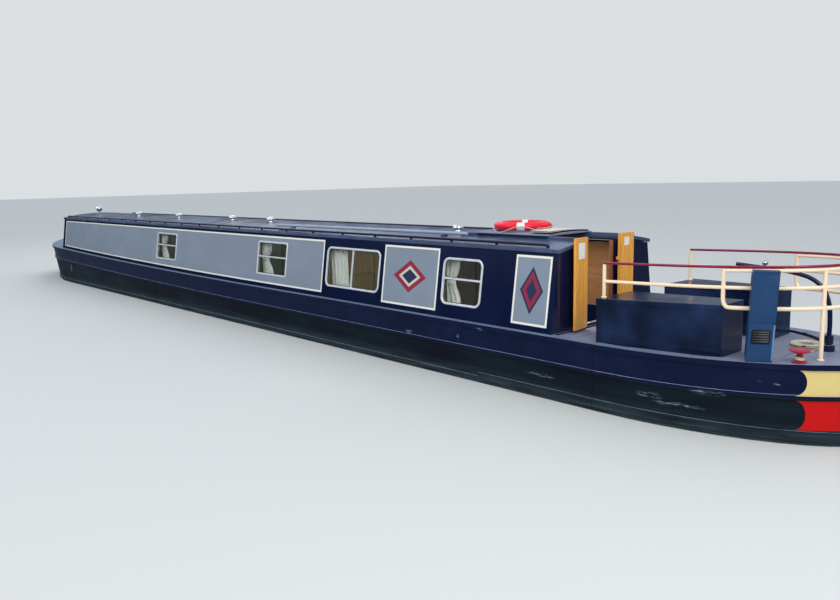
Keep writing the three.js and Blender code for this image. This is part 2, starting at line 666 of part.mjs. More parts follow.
// Folded cloth lying on the hatch behind the lifebuoy
const clothPlan = [
  [-6980, 440],
  [-6985, 10],
  [-6800, -60],
  [-6690, 120],
  [-6770, 440],
];
addMesh("folded_cloth", geometryOf(profileZ(clothPlan, hatchTop(0) + SEAT, hatchTop(0) + 26)), CREAM);

// Handrails along the roof edges
const HANDRAIL = { x0: -7290, x1: 7460, y: 795, z: 1568, r: 17, first: -6560, pitch: 710 };
const railFeet = [];
for (let x = HANDRAIL.first; x < HANDRAIL.x1 - 60; x += HANDRAIL.pitch) railFeet.push(x);
const foot = (x) => box(x - 16, x + 16, HANDRAIL.y - 9, HANDRAIL.y + 9, roofTop(HANDRAIL.y - 9) + SEAT, HANDRAIL.z);
const handrail = join([
  bar([HANDRAIL.x0, HANDRAIL.y, HANDRAIL.z], [HANDRAIL.x1, HANDRAIL.y, HANDRAIL.z], HANDRAIL.r, 12),
  foot(HANDRAIL.x0 + 20),
  foot(HANDRAIL.x1 - 20),
  ...railFeet.map(foot),
]);
addMesh("handrail_port", geometryOf(handrail), NAVY);
addMesh("handrail_starboard", geometryOf(mirrored(handrail)), NAVY);

// Boat pole lying on its two chocks, inside the port handrail
const pole = bar([POLE.x0, POLE.y0, POLE_Z], [POLE.x1, POLE.y1, POLE_Z], POLE.r, 12);
addMesh("boat_pole", geometryOf(pole), OAK);

// Bulkheads between the cabin sides, each with a doorway
const innerY = (z) => sideY(z) - WALL - SEAT;
const DOORWAY = { y0: DOOR_MID - 272, y1: DOOR_MID + 272, sill: 26 };
const FRONT_DOORWAY = { half: 300, sill: 30, top: 1400 };
const roofUnder = (y) => Math.max(roofZ(y) - ROOF_UNDER, CABIN_TOP_Z + SEAT) - SEAT;

function bulkheadOutline(bottom) {
  const edge = innerY(CABIN_TOP_Z);
  const points = [...bottom, [edge, CABIN_TOP_Z]];
  for (let i = 1; i < ROOF_STEPS; i++) {
    const y = edge * (1 - (2 * i) / ROOF_STEPS);
    points.push([y, roofUnder(Math.abs(y) + 12)]);
  }
  points.push([-edge, CABIN_TOP_Z]);
  return points;
}

// Hinges that lift off: the fixed lug carries the knuckle of the door above it
const HINGE_R = 9;
const HINGE_TALL = 32;
const DOOR_AXIS_OUT = 36; // from the bulkhead face to the hinge axis
const LEAF_THICK = 28;
const hingeZs = (zLow, zHigh) => [zLow + 120, zHigh - 160];

function lug(face, outwards, y, z) {
  const axisX = face + outwards * DOOR_AXIS_OUT;
  const x0 = Math.min(face - outwards * 6, axisX);
  const x1 = Math.max(face - outwards * 6, axisX);
  return join([
    bar([axisX, y, z - HINGE_TALL], [axisX, y, z], HINGE_R, 16),
    box(x0, x1, y - 5, y + 5, z - HINGE_TALL, z - 4),
  ]);
}

// A door leaf from its hinge axis. side is the direction from the axis to the free edge, along Y.
// layer is the span of X that the leaf takes up.
function leaf(axisX, axisY, side, width, layer, zLow, zHigh) {
  const y0 = side > 0 ? axisY + 12 : axisY - width;
  const y1 = side > 0 ? axisY + width : axisY - 12;
  const knuckles = hingeZs(zLow, zHigh).flatMap((z) => [
    bar([axisX, axisY, z + SEAT], [axisX, axisY, z + HINGE_TALL], HINGE_R, 16),
    box(
      Math.min(axisX, layer[0] + 4),
      Math.max(axisX, layer[1] - 4),
      Math.min(axisY, axisY + side * 20),
      Math.max(axisY, axisY + side * 20),
      z + 4,
      z + HINGE_TALL,
    ),
  ]);
  return join([box(layer[0], layer[1], y0, y1, zLow, zHigh), ...knuckles]);
}

// Rear doors. The starboard one is folded right back against the bulkhead, the port one stands a little off it.
const REAR_AXIS_X = X_AFT - DOOR_AXIS_OUT;
const REAR_LOW = FREEBOARD + 16;
const REAR_HIGH = 1636;
const REAR_LEAF = (DOORWAY.y1 - DOORWAY.y0) / 2 + 12; // from the hinge axis to the free edge
const PORT_LEAF_OFF = 10; // degrees
const aftBottom = [
  [-innerY(FREEBOARD), FREEBOARD + SEAT],
  [innerY(FREEBOARD), FREEBOARD + SEAT],
];
const rearLugs = [DOORWAY.y1 + 16, DOORWAY.y0 - 16].flatMap((y) =>
  hingeZs(REAR_LOW, REAR_HIGH - 130).map((z) => lug(X_AFT, -1, y, z)),
);
const rearBulkhead = join([
  cut(profileX(bulkheadOutline(aftBottom), X_AFT, X_AFT + BULKHEAD), [
    box(X_AFT - 50, X_AFT + 100, DOORWAY.y0, DOORWAY.y1, FREEBOARD + DOORWAY.sill, 2000),
  ]),
  ...rearLugs,
]);
addMesh("rear_bulkhead", geometryOf(rearBulkhead), NAVY);

function rearLeaf(axisY, side) {
  const layer = [REAR_AXIS_X - LEAF_THICK - 2, REAR_AXIS_X - 2];
  const y0 = side > 0 ? axisY + 12 : axisY - REAR_LEAF;
  const y1 = side > 0 ? axisY + REAR_LEAF : axisY - 12;
  const knuckles = hingeZs(REAR_LOW, REAR_HIGH - 130).flatMap((z) => [
    bar([REAR_AXIS_X, axisY, z + SEAT], [REAR_AXIS_X, axisY, z + HINGE_TALL], HINGE_R, 16),
    box(
      REAR_AXIS_X - LEAF_THICK + 6,
      REAR_AXIS_X,
      Math.min(axisY, axisY + side * 20),
      Math.max(axisY, axisY + side * 20),
      z + 4,
      z + HINGE_TALL,
    ),
  ]);
  return join([box(layer[0], layer[1], y0, y1, REAR_LOW, REAR_HIGH), ...knuckles]);
}
const portLeaf = rearLeaf(DOORWAY.y1 + 16, 1)
  .translate([-REAR_AXIS_X, -DOORWAY.y1 - 16, 0])
  .rotate([0, 0, PORT_LEAF_OFF])
  .translate([REAR_AXIS_X, DOORWAY.y1 + 16, 0]);
addMesh("rear_door_port", geometryOf(portLeaf), OAK);
addMesh("rear_door_starboard", geometryOf(rearLeaf(DOORWAY.y0 - 16, -1)), OAK);

// Steps down from the after doorway to the cabin sole
const STEPS = { x0: X_AFT + BULKHEAD + SEAT, run: 240, tops: [420, 160, -110], half: 260 };
const steps = join(
  STEPS.tops.map((top, i) =>
    box(
      STEPS.x0,
      STEPS.x0 + STEPS.run * (i + 1),
      DOOR_MID - STEPS.half,
      DOOR_MID + STEPS.half,
      FLOOR_Z + SEAT,
      top,
    ),
  ),
);
addMesh("cabin_steps", geometryOf(steps), OAK);

// Front bulkhead, standing on the well deck, and its doors, shut
const FRONT_AXIS_X = X_FWD + 35;
const FRONT_LOW = WELL_Z + 22;
const FRONT_HIGH = 1420;
const fwdGunwale = gunwaleZ(X_FWD);
const frontBottom = [
  [-WELL_AFT_Y + 12, WELL_Z + SEAT],
  [WELL_AFT_Y - 12, WELL_Z + SEAT],
  [WELL_AFT_Y - 12, fwdGunwale + 4],
  [innerY(fwdGunwale + 4), fwdGunwale + 4],
];
const frontOutline = bulkheadOutline(frontBottom);
frontOutline.push([-innerY(fwdGunwale + 4), fwdGunwale + 4], [-WELL_AFT_Y + 12, fwdGunwale + 4]);
const frontLugs = [FRONT_DOORWAY.half + 16, -FRONT_DOORWAY.half - 16].flatMap((y) =>
  hingeZs(FRONT_LOW, FRONT_HIGH).map((z) => lug(X_FWD, 1, y, z)),
);
const frontBulkhead = join([
  cut(profileX(frontOutline, X_FWD - BULKHEAD, X_FWD), [
    box(
      X_FWD - 100,
      X_FWD + 50,
      -FRONT_DOORWAY.half,
      FRONT_DOORWAY.half,
      WELL_Z + FRONT_DOORWAY.sill,
      FRONT_DOORWAY.top,
    ),
  ]),
  ...frontLugs,
]);
addMesh("front_bulkhead", geometryOf(frontBulkhead), NAVY);
const FRONT_LEAF = FRONT_DOORWAY.half + 16 - 4;
function frontLeaf(axisY, side) {
  const layer = [FRONT_AXIS_X - LEAF_THICK - 2, FRONT_AXIS_X - 2];
  return leaf(FRONT_AXIS_X, axisY, side, FRONT_LEAF, layer, FRONT_LOW, FRONT_HIGH);
}
addMesh("front_door_port", geometryOf(frontLeaf(FRONT_DOORWAY.half + 16, -1)), NAVY);
addMesh("front_door_starboard", geometryOf(frontLeaf(-FRONT_DOORWAY.half - 16, 1)), NAVY);

// Stern lockers. The outer face closes in towards the stern and the top rises with the sheer.
// The lid is hinged along a fixed strip that carries the foremost rail post.
const LOCKER = { x0: -9134, x1: -7966, y0: 320, outerAft: 725, outerFwd: 928, wall: 20, strip: 640 };
const LOCKER_TOP = { fwd: 1072, aft: 1103, lid: 22, band: 45, proud: 8 };
const lockerTop = (x) =>
  LOCKER_TOP.fwd + ((LOCKER_TOP.aft - LOCKER_TOP.fwd) * (LOCKER.x1 - x)) / (LOCKER.x1 - LOCKER.x0);
const lockerPlan = (out) => [
  [LOCKER.x0, LOCKER.y0],
  [LOCKER.x1, LOCKER.y0],
  [LOCKER.x1, LOCKER.outerFwd + out],
  [LOCKER.x0, LOCKER.outerAft + out],
];
// A layer that follows the sloping top, between two heights above it
const lockerLayer = (low, high, x0, x1, y0, y1) =>
  profileY(
    [
      [x0, lockerTop(x0) + low],
      [x1, lockerTop(x1) + low],
      [x1, lockerTop(x1) + high],
      [x0, lockerTop(x0) + high],
    ],
    y0,
    y1,
  );
const allX = [LOCKER.x0 - 50, LOCKER.x1 + 50];
const lockerBox = cut(
  profileZ(lockerPlan(0), DECK_Z + SEAT, 1250).add(
    profileZ(lockerPlan(LOCKER_TOP.proud), 900, 1250).intersect(
      lockerLayer(LOCKER_TOP.lid - LOCKER_TOP.band, LOCKER_TOP.lid, LOCKER.x0, LOCKER.x1, LOCKER.strip, 1000),
    ),
  ),
  [
    lockerLayer(0, 300, ...allX, LOCKER.y0 - 50, LOCKER.strip),
    lockerLayer(LOCKER_TOP.lid, 300, ...allX, 0, 1100),
    box(
      LOCKER.x0 + LOCKER.wall,
      LOCKER.x1 - LOCKER.wall,
      LOCKER.y0 + LOCKER.wall,
      LOCKER.strip - LOCKER.wall,
      DECK_Z + LOCKER.wall,
      2000,
    ),
  ],
);
addMesh("locker_port", geometryOf(lockerBox), NAVY);
addMesh("locker_starboard", geometryOf(mirrored(lockerBox)), NAVY);
const LID_LAP = 8;
const lockerLid = lockerLayer(
  SEAT,
  LOCKER_TOP.lid,
  LOCKER.x0,
  LOCKER.x1 + LID_LAP,
  LOCKER.y0 - LID_LAP,
  LOCKER.strip - SEAT,
);
addMesh("locker_lid_port", geometryOf(lockerLid), NAVY);
addMesh("locker_lid_starboard", geometryOf(mirrored(lockerLid)), NAVY);

// Stern rails: cream posts and rails, and a thinner red rail along the top
const RAIL = { start: -8300, reach: 1664, half: 826, power: 2.58, r: 19 };
const railY = (x) => {
  const u = Math.min(Math.max((RAIL.start - x) / RAIL.reach, 0), 1);
  return RAIL.half * (1 - u ** RAIL.power) ** (1 / RAIL.power);
};
const RAIL_STEPS = 9;
const POST_A_X = -7985;
const POST_B_X = LOCKER.x0 - RAIL.r - SEAT;
const POST_C_X = -9850;
// Heights of the rails at the foremost post. All three rise towards the stern.
const RAIL_TOP = { z: 1430, r: 12.5 };
const RAIL_MID = { z: 1252, r: 16 };
const RAIL_LOW = { z: 1077, r: 18 };
const RAIL_SLOPE = 0.032;
const railZ = (rail, x) => rail.z + RAIL_SLOPE * Math.max(POST_A_X - x, 0);
const onRail = (rail, x) => [x, railY(x), railZ(rail, x)];

// The way round the stern, from the port side to the starboard side
function roundStern(fromX, rail) {
  const port = [];
  if (fromX > RAIL.start) port.push(onRail(rail, fromX));
  const u0 = Math.min(Math.max((RAIL.start - fromX) / RAIL.reach, 0), 1);
  const a0 = Math.asin(u0 ** (RAIL.power / 2));
  for (let i = 0; i < RAIL_STEPS; i++) {
    const angle = a0 + ((Math.PI / 2 - a0) * i) / RAIL_STEPS;
    port.push(onRail(rail, RAIL.start - RAIL.reach * Math.sin(angle) ** (2 / RAIL.power)));
  }
  return [...port, onRail(rail, RAIL.start - RAIL.reach), ...acrossDeck(port)];
}
function acrossDeck(points) {
  return [...points].reverse().map(([x, y, z]) => [x, -y, z]);
}
const postTop = (x) => railZ(RAIL_TOP, x) - RAIL_TOP.r - SEAT;
const elbow = [
  [POST_B_X, railY(POST_B_X), postTop(POST_B_X)],
  onRail(RAIL_MID, POST_B_X),
  [POST_B_X, railY(POST_B_X), railZ(RAIL_LOW, POST_B_X) + 70],
  [POST_B_X - 12, railY(POST_B_X - 12), railZ(RAIL_LOW, POST_B_X) + 18],
];
const postFrom = (x, z, r) => bar([x, railY(x), z], [x, railY(x), postTop(x)], r, 12);
const railPosts = join([
  postFrom(POST_A_X, lockerTop(POST_A_X - RAIL_LOW.r) + LOCKER_TOP.lid + SEAT, RAIL_LOW.r),
  postFrom(POST_C_X, gunwaleZ(POST_C_X - RAIL.r) + SEAT, RAIL.r),
]);

// Control pedestal, standing on the side deck in the line of the rails, which end on its sides. It leans aft a little.
const PEDESTAL = { x: -9450, y: 700, wide: 206, out: 90, inn: 90, turn: 0.5, slots: 5, lean: 35 };
const PEDESTAL_FOOT = gunwaleZ(PEDESTAL.x) + 1;
const PEDESTAL_TALL = railZ(RAIL_TOP, PEDESTAL.x + PEDESTAL.wide / 2) - RAIL_TOP.r - 3 - PEDESTAL_FOOT;
const footSlope = (gunwaleZ(PEDESTAL.x + 100) - gunwaleZ(PEDESTAL.x - 100)) / 200;
function pedestalPlace(geometry) {
  geometry.rotateZ(PEDESTAL.turn);
  const p = geometry.attributes.position;
  for (let i = 0; i < p.count; i++) {
    if (p.getZ(i) < 1) p.setZ(i, p.getZ(i) + footSlope * p.getX(i));
    p.setX(i, p.getX(i) - (PEDESTAL.lean * Math.max(p.getZ(i), 0)) / PEDESTAL_TALL);
  }
  geometry.translate(PEDESTAL.x, PEDESTAL.y, PEDESTAL_FOOT);
  return solid(geometry);
}
function pedestalBox(x0, x1, y0, y1, z0, z1) {
  const geometry = new THREE.BoxGeometry(x1 - x0, y1 - y0, z1 - z0);
  geometry.translate((x0 + x1) / 2, (y0 + y1) / 2, (z0 + z1) / 2);
  return pedestalPlace(geometry);
}
const pedestalHalf = PEDESTAL.wide / 2;
const slots = Array.from({ length: PEDESTAL.slots }, (_, i) =>
  pedestalBox(-68, 62, PEDESTAL.out - 4, PEDESTAL.out + 10, 140 + i * 21, 152 + i * 21),
);
const pedestal = cut(
  pedestalBox(-pedestalHalf, pedestalHalf, -PEDESTAL.inn, PEDESTAL.out, 0, PEDESTAL_TALL),
  slots,
);
addMesh("control_pedestal", geometryOf(pedestal), NAVY);
const pedestalRoom = pedestalBox(
  -pedestalHalf - SEAT,
  pedestalHalf + SEAT,
  -PEDESTAL.inn,
  PEDESTAL.out,
  -10,
  PEDESTAL_TALL + SEAT,
);
const leverArm = new THREE.CylinderGeometry(9, 9, 150, 12);
leverArm.rotateX(Math.PI / 2);
leverArm.translate(0, -PEDESTAL.inn - 36, PEDESTAL_TALL - 40);
const leverBoss = new THREE.CylinderGeometry(20, 20, 40, 16);
leverBoss.translate(0, -PEDESTAL.inn - 26, PEDESTAL_TALL - 110);
const leverKnob = new THREE.SphereGeometry(24, 14, 10);
leverKnob.translate(0, -PEDESTAL.inn - 36, PEDESTAL_TALL + 44);
const leverPlate = pedestalBox(
  -45,
  45,
  -PEDESTAL.inn - 12,
  -PEDESTAL.inn - SEAT,
  PEDESTAL_TALL - 170,
  PEDESTAL_TALL - 50,
);
const lever = join([leverPlate, ...[leverArm, leverBoss, leverKnob].map(pedestalPlace)]);
addMesh("control_lever", geometryOf(lever), STEEL);

// The cream rails are one welded piece to each side of the pedestal, so they run on round to starboard
const sternRail = cut(
  join([
    tube(roundStern(POST_A_X, RAIL_MID), RAIL_MID.r, 10, 44),
    tube([...elbow, ...roundStern(POST_B_X - 60, RAIL_LOW), ...acrossDeck(elbow)], RAIL_LOW.r, 10, 52),
    railPosts,
    mirrored(railPosts),
  ]),
  [pedestalRoom],
);
const railPieces = sternRail.decompose().sort((a, b) => b.volume() - a.volume());
addMesh("stern_rail", geometryOf(railPieces[0]), CREAM);
addMesh("side_rail_port", geometryOf(railPieces[1]), CREAM);
const topRail = tube(roundStern(POST_A_X + 12, RAIL_TOP), RAIL_TOP.r, 10, 48);
addMesh("stern_top_rail", geometryOf(topRail), RED);

// Mooring bollards on the quarters and the stud on the foredeck
const BOLLARD = { x: -9748, y: 590 };
const bollardShape = [
  [0, 0],
  [60, 0],
  [60, 10],
  [24, 16],
  [20, 70],
  [84, 92],
  [88, 101],
  [62, 114],
  [0, 122],
];
const bollard = turned(bollardShape, BOLLARD.x, BOLLARD.y, gunwaleZ(BOLLARD.x - 60) + SEAT);
addMesh("bollard_port", geometryOf(bollard), RED);
addMesh("bollard_starboard", geometryOf(mirrored(bollard)), RED);
const STUD_X = 9880;
const studZ = gunwaleZ(STUD_X);
const stud = join([
  bar([STUD_X, 0, studZ - 4], [STUD_X, 0, studZ + 130], 24, 16),
  bar([STUD_X, -110, studZ + 105], [STUD_X, 110, studZ + 105], 18, 16),
]);
addMesh("bow_stud", geometryOf(cut(stud, [hull])), RED);

// Coiled mooring rope on the stern deck
const COIL = { x: -9480, y: -270, inner: 62, outer: 150, tall: 36 };
const coilRing = [
  [COIL.inner, 0],
  [COIL.outer, 0],
  [COIL.outer, COIL.tall / 2],
  [COIL.outer - 12, COIL.tall],
  [COIL.inner + 12, COIL.tall],
  [COIL.inner, COIL.tall / 2],
  [COIL.inner, 0],
];
addMesh("rope_coil", geometryOf(turned(coilRing, COIL.x, COIL.y, DECK_Z + SEAT, 32)), ROPE);

// The same rope's turns round the port bollard, and its way from there over the edge of the deck boards to the coil
const ROPE_R = 7;
const TURNS = { inner: 24.5, tall: 36, above: 16.4 };
const bollardFoot = gunwaleZ(BOLLARD.x - 60) + SEAT;
const turnsRing = [
  [TURNS.inner, 0],
  [TURNS.inner + 2 * ROPE_R, 0],
  [TURNS.inner + 2 * ROPE_R, TURNS.tall],
  [TURNS.inner, TURNS.tall],
  [TURNS.inner, 0],
];
addMesh("rope_turns", geometryOf(turned(turnsRing, BOLLARD.x, BOLLARD.y, bollardFoot + TURNS.above)), ROPE);
const ropeLead = [
  [-9767, 550, 716],
  [-9757, 521, 712],
  [-9740, 477, 703],
  [-9718, 428, 697.6],
  [-9690, 376, 696.6],
  [-9662, 330, 697],
  [-9637, 286, 696],
  [-9619, 240, 680],
  [-9608, 192, 662.5],
  [-9607, 135, 659.7],
  [-9612, 60, 659.6],
  [-9619, -30, 659.6],
  [-9623, -120, 659.6],
  [-9623, -204, 659.6],
];
addMesh("rope_lead", geometryOf(tube(ropeLead, ROPE_R, 8, 26)), ROPE);

// Headlamp on the fore end of the roof
const LAMP_X = X_FWD - 90;
const lampZ = roofZ(0) + 95;
const lampHead = [
  [0, -70],
  [40, -60],
  [62, -25],
  [62, 10],
  [74, 14],
  [74, 34],
  [0, 30],
];
const lamp = join([
  bar([LAMP_X, 0, roofTop(0) + SEAT], [LAMP_X, 0, lampZ - 20], 12, 10),
  turned(lampHead, 0, 0, 0, 20).rotate([0, 90, 0]).translate([LAMP_X, 0, lampZ]),
]);
addMesh("headlamp", geometryOf(lamp), BRASS);

// Gas locker lid on the foredeck
const GAS_LID = { x0: GAS_LOCKER.x0 - 25, x1: GAS_LOCKER.x1 + 25, half: GAS_LOCKER.half + 25, thick: 14 };
const gasLid = profileY(
  [
    [GAS_LID.x0, gunwaleZ(GAS_LID.x0) + SEAT],
    [GAS_LID.x1, gunwaleZ(GAS_LID.x1) + SEAT],
    [GAS_LID.x1, gunwaleZ(GAS_LID.x1) + GAS_LID.thick],
    [GAS_LID.x0, gunwaleZ(GAS_LID.x0) + GAS_LID.thick],
  ],
  -GAS_LID.half,
  GAS_LID.half,
);
addMesh("gas_locker_lid", geometryOf(gasLid), NAVY);

export default boat;
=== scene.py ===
"""A steel narrowboat with a cruiser stern: the finishes and the fine pieces over its solid model."""

import itertools
import math

import bmesh
import bpy
from mathutils import Matrix, Vector


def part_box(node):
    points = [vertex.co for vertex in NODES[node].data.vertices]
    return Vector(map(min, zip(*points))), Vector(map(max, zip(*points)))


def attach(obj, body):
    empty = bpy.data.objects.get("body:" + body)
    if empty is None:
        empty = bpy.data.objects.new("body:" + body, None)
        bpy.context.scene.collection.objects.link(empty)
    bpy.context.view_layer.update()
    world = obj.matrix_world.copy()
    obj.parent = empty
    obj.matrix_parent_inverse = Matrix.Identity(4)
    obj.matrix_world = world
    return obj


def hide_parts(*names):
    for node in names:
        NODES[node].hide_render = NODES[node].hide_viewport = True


bl_info = {
    "name": "Narrowboat",
    "version": (1, 0, 0),
    "blender": (4, 5, 0),
    "location": "3D View > Sidebar > Narrowboat",
    "description": "Builds the finishes and fine pieces of a steel narrowboat, one operator for each",
    "category": "Object",
}

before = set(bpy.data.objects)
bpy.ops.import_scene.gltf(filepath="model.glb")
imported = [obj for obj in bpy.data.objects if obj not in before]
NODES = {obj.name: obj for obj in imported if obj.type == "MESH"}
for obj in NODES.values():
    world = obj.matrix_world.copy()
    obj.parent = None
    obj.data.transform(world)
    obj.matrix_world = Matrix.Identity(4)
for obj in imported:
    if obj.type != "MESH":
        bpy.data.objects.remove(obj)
SIDES = (("port", 1), ("starboard", -1))

# Sizes that the solid model gives, in metres. z is the height above the water.
X_AFT = -7.440
X_FWD = 7.660
# The gunwale amidships, and its climb to the bow and the stern: where it starts, its reach and its rise
SHEER_Z = 0.665
FORE_SHEER = (-2.440, 10.4, 0.144)
AFT_SHEER = (-8.0, 2.33, 0.045)
CABIN_FOOT_Y = 0.955
CABIN_TOP_Z = 1.490
LEAN = 0.125 / 0.825
WALL = 0.040
DECK_Z = 0.652
CLEARANCE = 0.0003
ROOF_EDGE_Y = 0.845
ROOF_EDGE_Z = 1.530
ROOF_CAMBER = 0.085
ROOF_THICK = 0.040
ROOF_OVERHANG = 0.022
# The hatchway in the roof, and the notch in the overhang aft of it
HATCHWAY_X = -6.560
HATCHWAY_Y = (-0.270, 0.390)
NOTCH_Y = (-0.160, 0.422)
DOOR_MID = 0.132
DOORWAY = (DOOR_MID - 0.272, DOOR_MID + 0.272)
HATCH_MID = 0.060
HATCH_HALF = 0.412
RUNNER_INNER = 0.368
RUNNER_WIDTH = 0.020
RUNNER_HIGH = 0.020
RUNNER_FORE_X = -5.650
# The pole lies at a slant inside the port handrail
POLE_AFT = Vector((-5.890, 0.560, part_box("boat_pole")[0].z + 0.022))
POLE_FORE = Vector((-1.900, 0.690, POLE_AFT.z))
WINDOWS = (
    # x0, x1, z0, z1, corner, height of the bar or None where a mullion stands
    (1.340, 2.200, 0.868, 1.368, 0.035, 1.140),
    (-2.420, -1.570, 0.850, 1.372, 0.035, 1.135),
    (-4.620, -3.440, 0.820, 1.372, 0.090, None),
    (-6.420, -5.780, 0.815, 1.362, 0.090, 1.120),
)
RAIL_START = -8.300
RAIL_REACH = 1.664
RAIL_HALF = 0.826
RAIL_POWER = 2.58
TOP_RAIL_Z = 1.430
MIDDLE_RAIL_Z = 1.252
LOW_RAIL_Z = 1.077
POST_A_X = -7.985
POST_B_X = -9.1533
POST_C_X = -9.850
BOLLARD = Vector((-9.748, 0.590, 0.0))
COIL = Vector((-9.480, -0.270, DECK_Z))
PEDESTAL_X = -9.450
PEDESTAL_Y = 0.700
PEDESTAL_TURN = 0.5
PEDESTAL_LEAN = 0.035
PEDESTAL_FACE = 0.090


def gunwale(x):
    """Height of the gunwale above the water."""
    height = SHEER_Z
    for way, (start, reach, rise) in ((1, FORE_SHEER), (-1, AFT_SHEER)):
        height += rise * (max(way * (x - start), 0.0) / reach) ** 2
    return height


def side_y(z):
    """The outer face of the port cabin side at a height."""
    return CABIN_FOOT_Y - LEAN * (z - SHEER_Z)


def roof_z(y):
    """Height of the cambered roof."""
    return ROOF_EDGE_Z + ROOF_CAMBER * (1 - (y / ROOF_EDGE_Y) ** 2)


def linear(code):
    """An sRGB hex colour as linear RGBA."""
    levels = [int(code[i : i + 2], 16) / 255 for i in (0, 2, 4)]
    return (*[c / 12.92 if c <= 0.04045 else ((c + 0.055) / 1.055) ** 2.4 for c in levels], 1.0)


def colour_property(name, description, code):
    return bpy.props.FloatVectorProperty(
        name=name, description=description, subtype="COLOR", size=4, min=0, max=1, default=linear(code)
    )


def length_property(name, description, default):
    return bpy.props.FloatProperty(
        name=name, description=description, default=default, min=0.0, unit="LENGTH", precision=4
    )


class NarrowboatPaint(bpy.types.PropertyGroup):
    """Colours of the boat's finishes"""

    navy: colour_property("Navy enamel", "Cabin, lockers and upper hull", "0d1634")
    blacking: colour_property("Blacking", "Hull below the rubbing strake", "0a111c")
    cream: colour_property("Cream enamel", "Upper band round the counter", "dcc680")
    rails: colour_property("Rail cream", "Guard rails and their posts", "f8debc")
    line: colour_property("Border line", "Lines round the painted panels", "eceadf")
    red: colour_property("Red enamel", "Lower band round the counter", "c80202")
    crimson: colour_property("Crimson enamel", "Rail along the top of the guard rails", "84123a")
    mushroom: colour_property("Bollard red", "Bollards on the quarters", "a01234")
    panel: colour_property("Panel grey", "Panels on the cabin sides", "7d8998")
    # The roof's colour is partly fading of the enamel and partly made paler as a painted reflection of the
    # sky at a slant
    roof: colour_property("Roof", "Faded enamel of the roof", "404c69")
    # The side deck's blue grey is partly a painted reflection of the sky on the walkway
    side_deck: colour_property("Side deck", "Walkway along the gunwale", "6c7f99")
    deck: colour_property("Deck grey", "Stern deck boards and the hatch top", "80849a")
    pedestal: colour_property("Pedestal blue", "Control pedestal on the port side deck", "1c3e66")
    oak: colour_property("Oak", "Doors and trim", "f6a945")


class NarrowboatSizes(bpy.types.PropertyGroup):
    """Sizes of the boat's fine pieces"""

    border: length_property("Panel border", "Width of the cream line round a panel", 0.024)
    rope: length_property("Rope diameter", "Thickness of the mooring rope", 0.014)
    lay: length_property("Rope lay", "Length of one turn of a strand", 0.048)
    gasket: length_property("Glazing rubber", "Width of the rubber round a pane", 0.007)
    board: length_property("Door board", "Width of one board of a door", 0.088)
    pleat: length_property("Curtain pleat", "Distance between two pleats", 0.075)


def paint():
    return bpy.context.scene.narrowboat_paint


def sizes():
    return bpy.context.scene.narrowboat_sizes


# Materials


def add(tree, kind, inputs=None, **settings):
    """Adds one node with its settings, and its values or links by socket.

    A Mix of colours takes how much at socket 0, and its two colours at sockets 6 and 7."""
    made = tree.nodes.new(kind)
    for name, value in settings.items():
        setattr(made, name, value)
    for name, value in (inputs or {}).items():
        if isinstance(value, bpy.types.Node):
            value = next(o for o in value.outputs if o.enabled)
        if isinstance(value, bpy.types.NodeSocket):
            tree.links.new(value, made.inputs[name])
        else:
            made.inputs[name].default_value = value
    return made


def finish(name, inputs):
    """A material with one Principled shader. inputs is a dictionary, or a function of the tree."""
    material = bpy.data.materials.new(name)
    material.use_nodes = True
    tree = material.node_tree
    tree.nodes.clear()
    shader = add(tree, "ShaderNodeBsdfPrincipled", inputs(tree) if callable(inputs) else inputs)
    add(tree, "ShaderNodeOutputMaterial", {"Surface": shader})
    return material


def object_place(tree):
    """A point of the boat, in metres."""
    return add(tree, "ShaderNodeTexCoord").outputs["Object"]


def place_parts(tree):
    """The x, y and z of a point of the boat, in metres."""
    return add(tree, "ShaderNodeSeparateXYZ", {0: object_place(tree)}).outputs


def patches(tree, millimetres, low, high, detail=4.0, distortion=0.0, place=None):
    """Soft irregular patches of about this size, from 0 to 1."""
    cloud = {"Vector": place or object_place(tree), "Scale": 1000.0 / millimetres}
    cloud |= {"Detail": detail, "Distortion": distortion}
    fraction = add(tree, "ShaderNodeTexNoise", cloud).outputs["Fac"]
    return add(tree, "ShaderNodeMapRange", {"Value": fraction, "From Min": low, "From Max": high})


def shade(colour, factor):
    """The same colour, darker or lighter."""
    return (*[min(c * factor, 1.0) for c in colour[:3]], 1.0)


def fine_grain(tree, millimetres, strength, depth, normal=None):
    """A bump of small round grains, depth metres high."""
    cloud = {"Vector": object_place(tree), "Scale": 1000.0 / millimetres, "Detail": 2.0}
    grain = add(tree, "ShaderNodeTexNoise", cloud).outputs["Fac"]
    inputs = {"Height": grain, "Strength": strength, "Distance": depth}
    if normal:
        inputs["Normal"] = normal
    return add(tree, "ShaderNodeBump", inputs)


def brushed_ripple(tree, strength=0.05):
    """Brush marks 12 mm apart, over plates that the welds have drawn in by a few millimetres."""
    return fine_grain(tree, 12.5, strength, 0.002, fine_grain(tree, 620, 0.22, 0.02))


def sheer_height(tree, x):
    """The gunwale's height at x, as nodes."""
    height = SHEER_Z
    for way, (start, reach, rise) in ((1, FORE_SHEER), (-1, AFT_SHEER)):
        past = add(tree, "ShaderNodeMath", {0: x, 1: way, 2: -way * start}, operation="MULTIPLY_ADD")
        past = add(tree, "ShaderNodeMath", {0: past, 1: 0.0}, operation="MAXIMUM")
        past = add(tree, "ShaderNodeMath", {0: past, 1: 2.0}, operation="POWER")
        climb = {0: past, 1: rise / reach**2, 2: height}
        height = add(tree, "ShaderNodeMath", climb, operation="MULTIPLY_ADD")
    return height


def away_from(tree, value, middle):
    """How far a value lies from the middle, either way."""
    off = add(tree, "ShaderNodeMath", {0: value, 1: middle}, operation="SUBTRACT")
    return add(tree, "ShaderNodeMath", {0: off}, operation="ABSOLUTE")


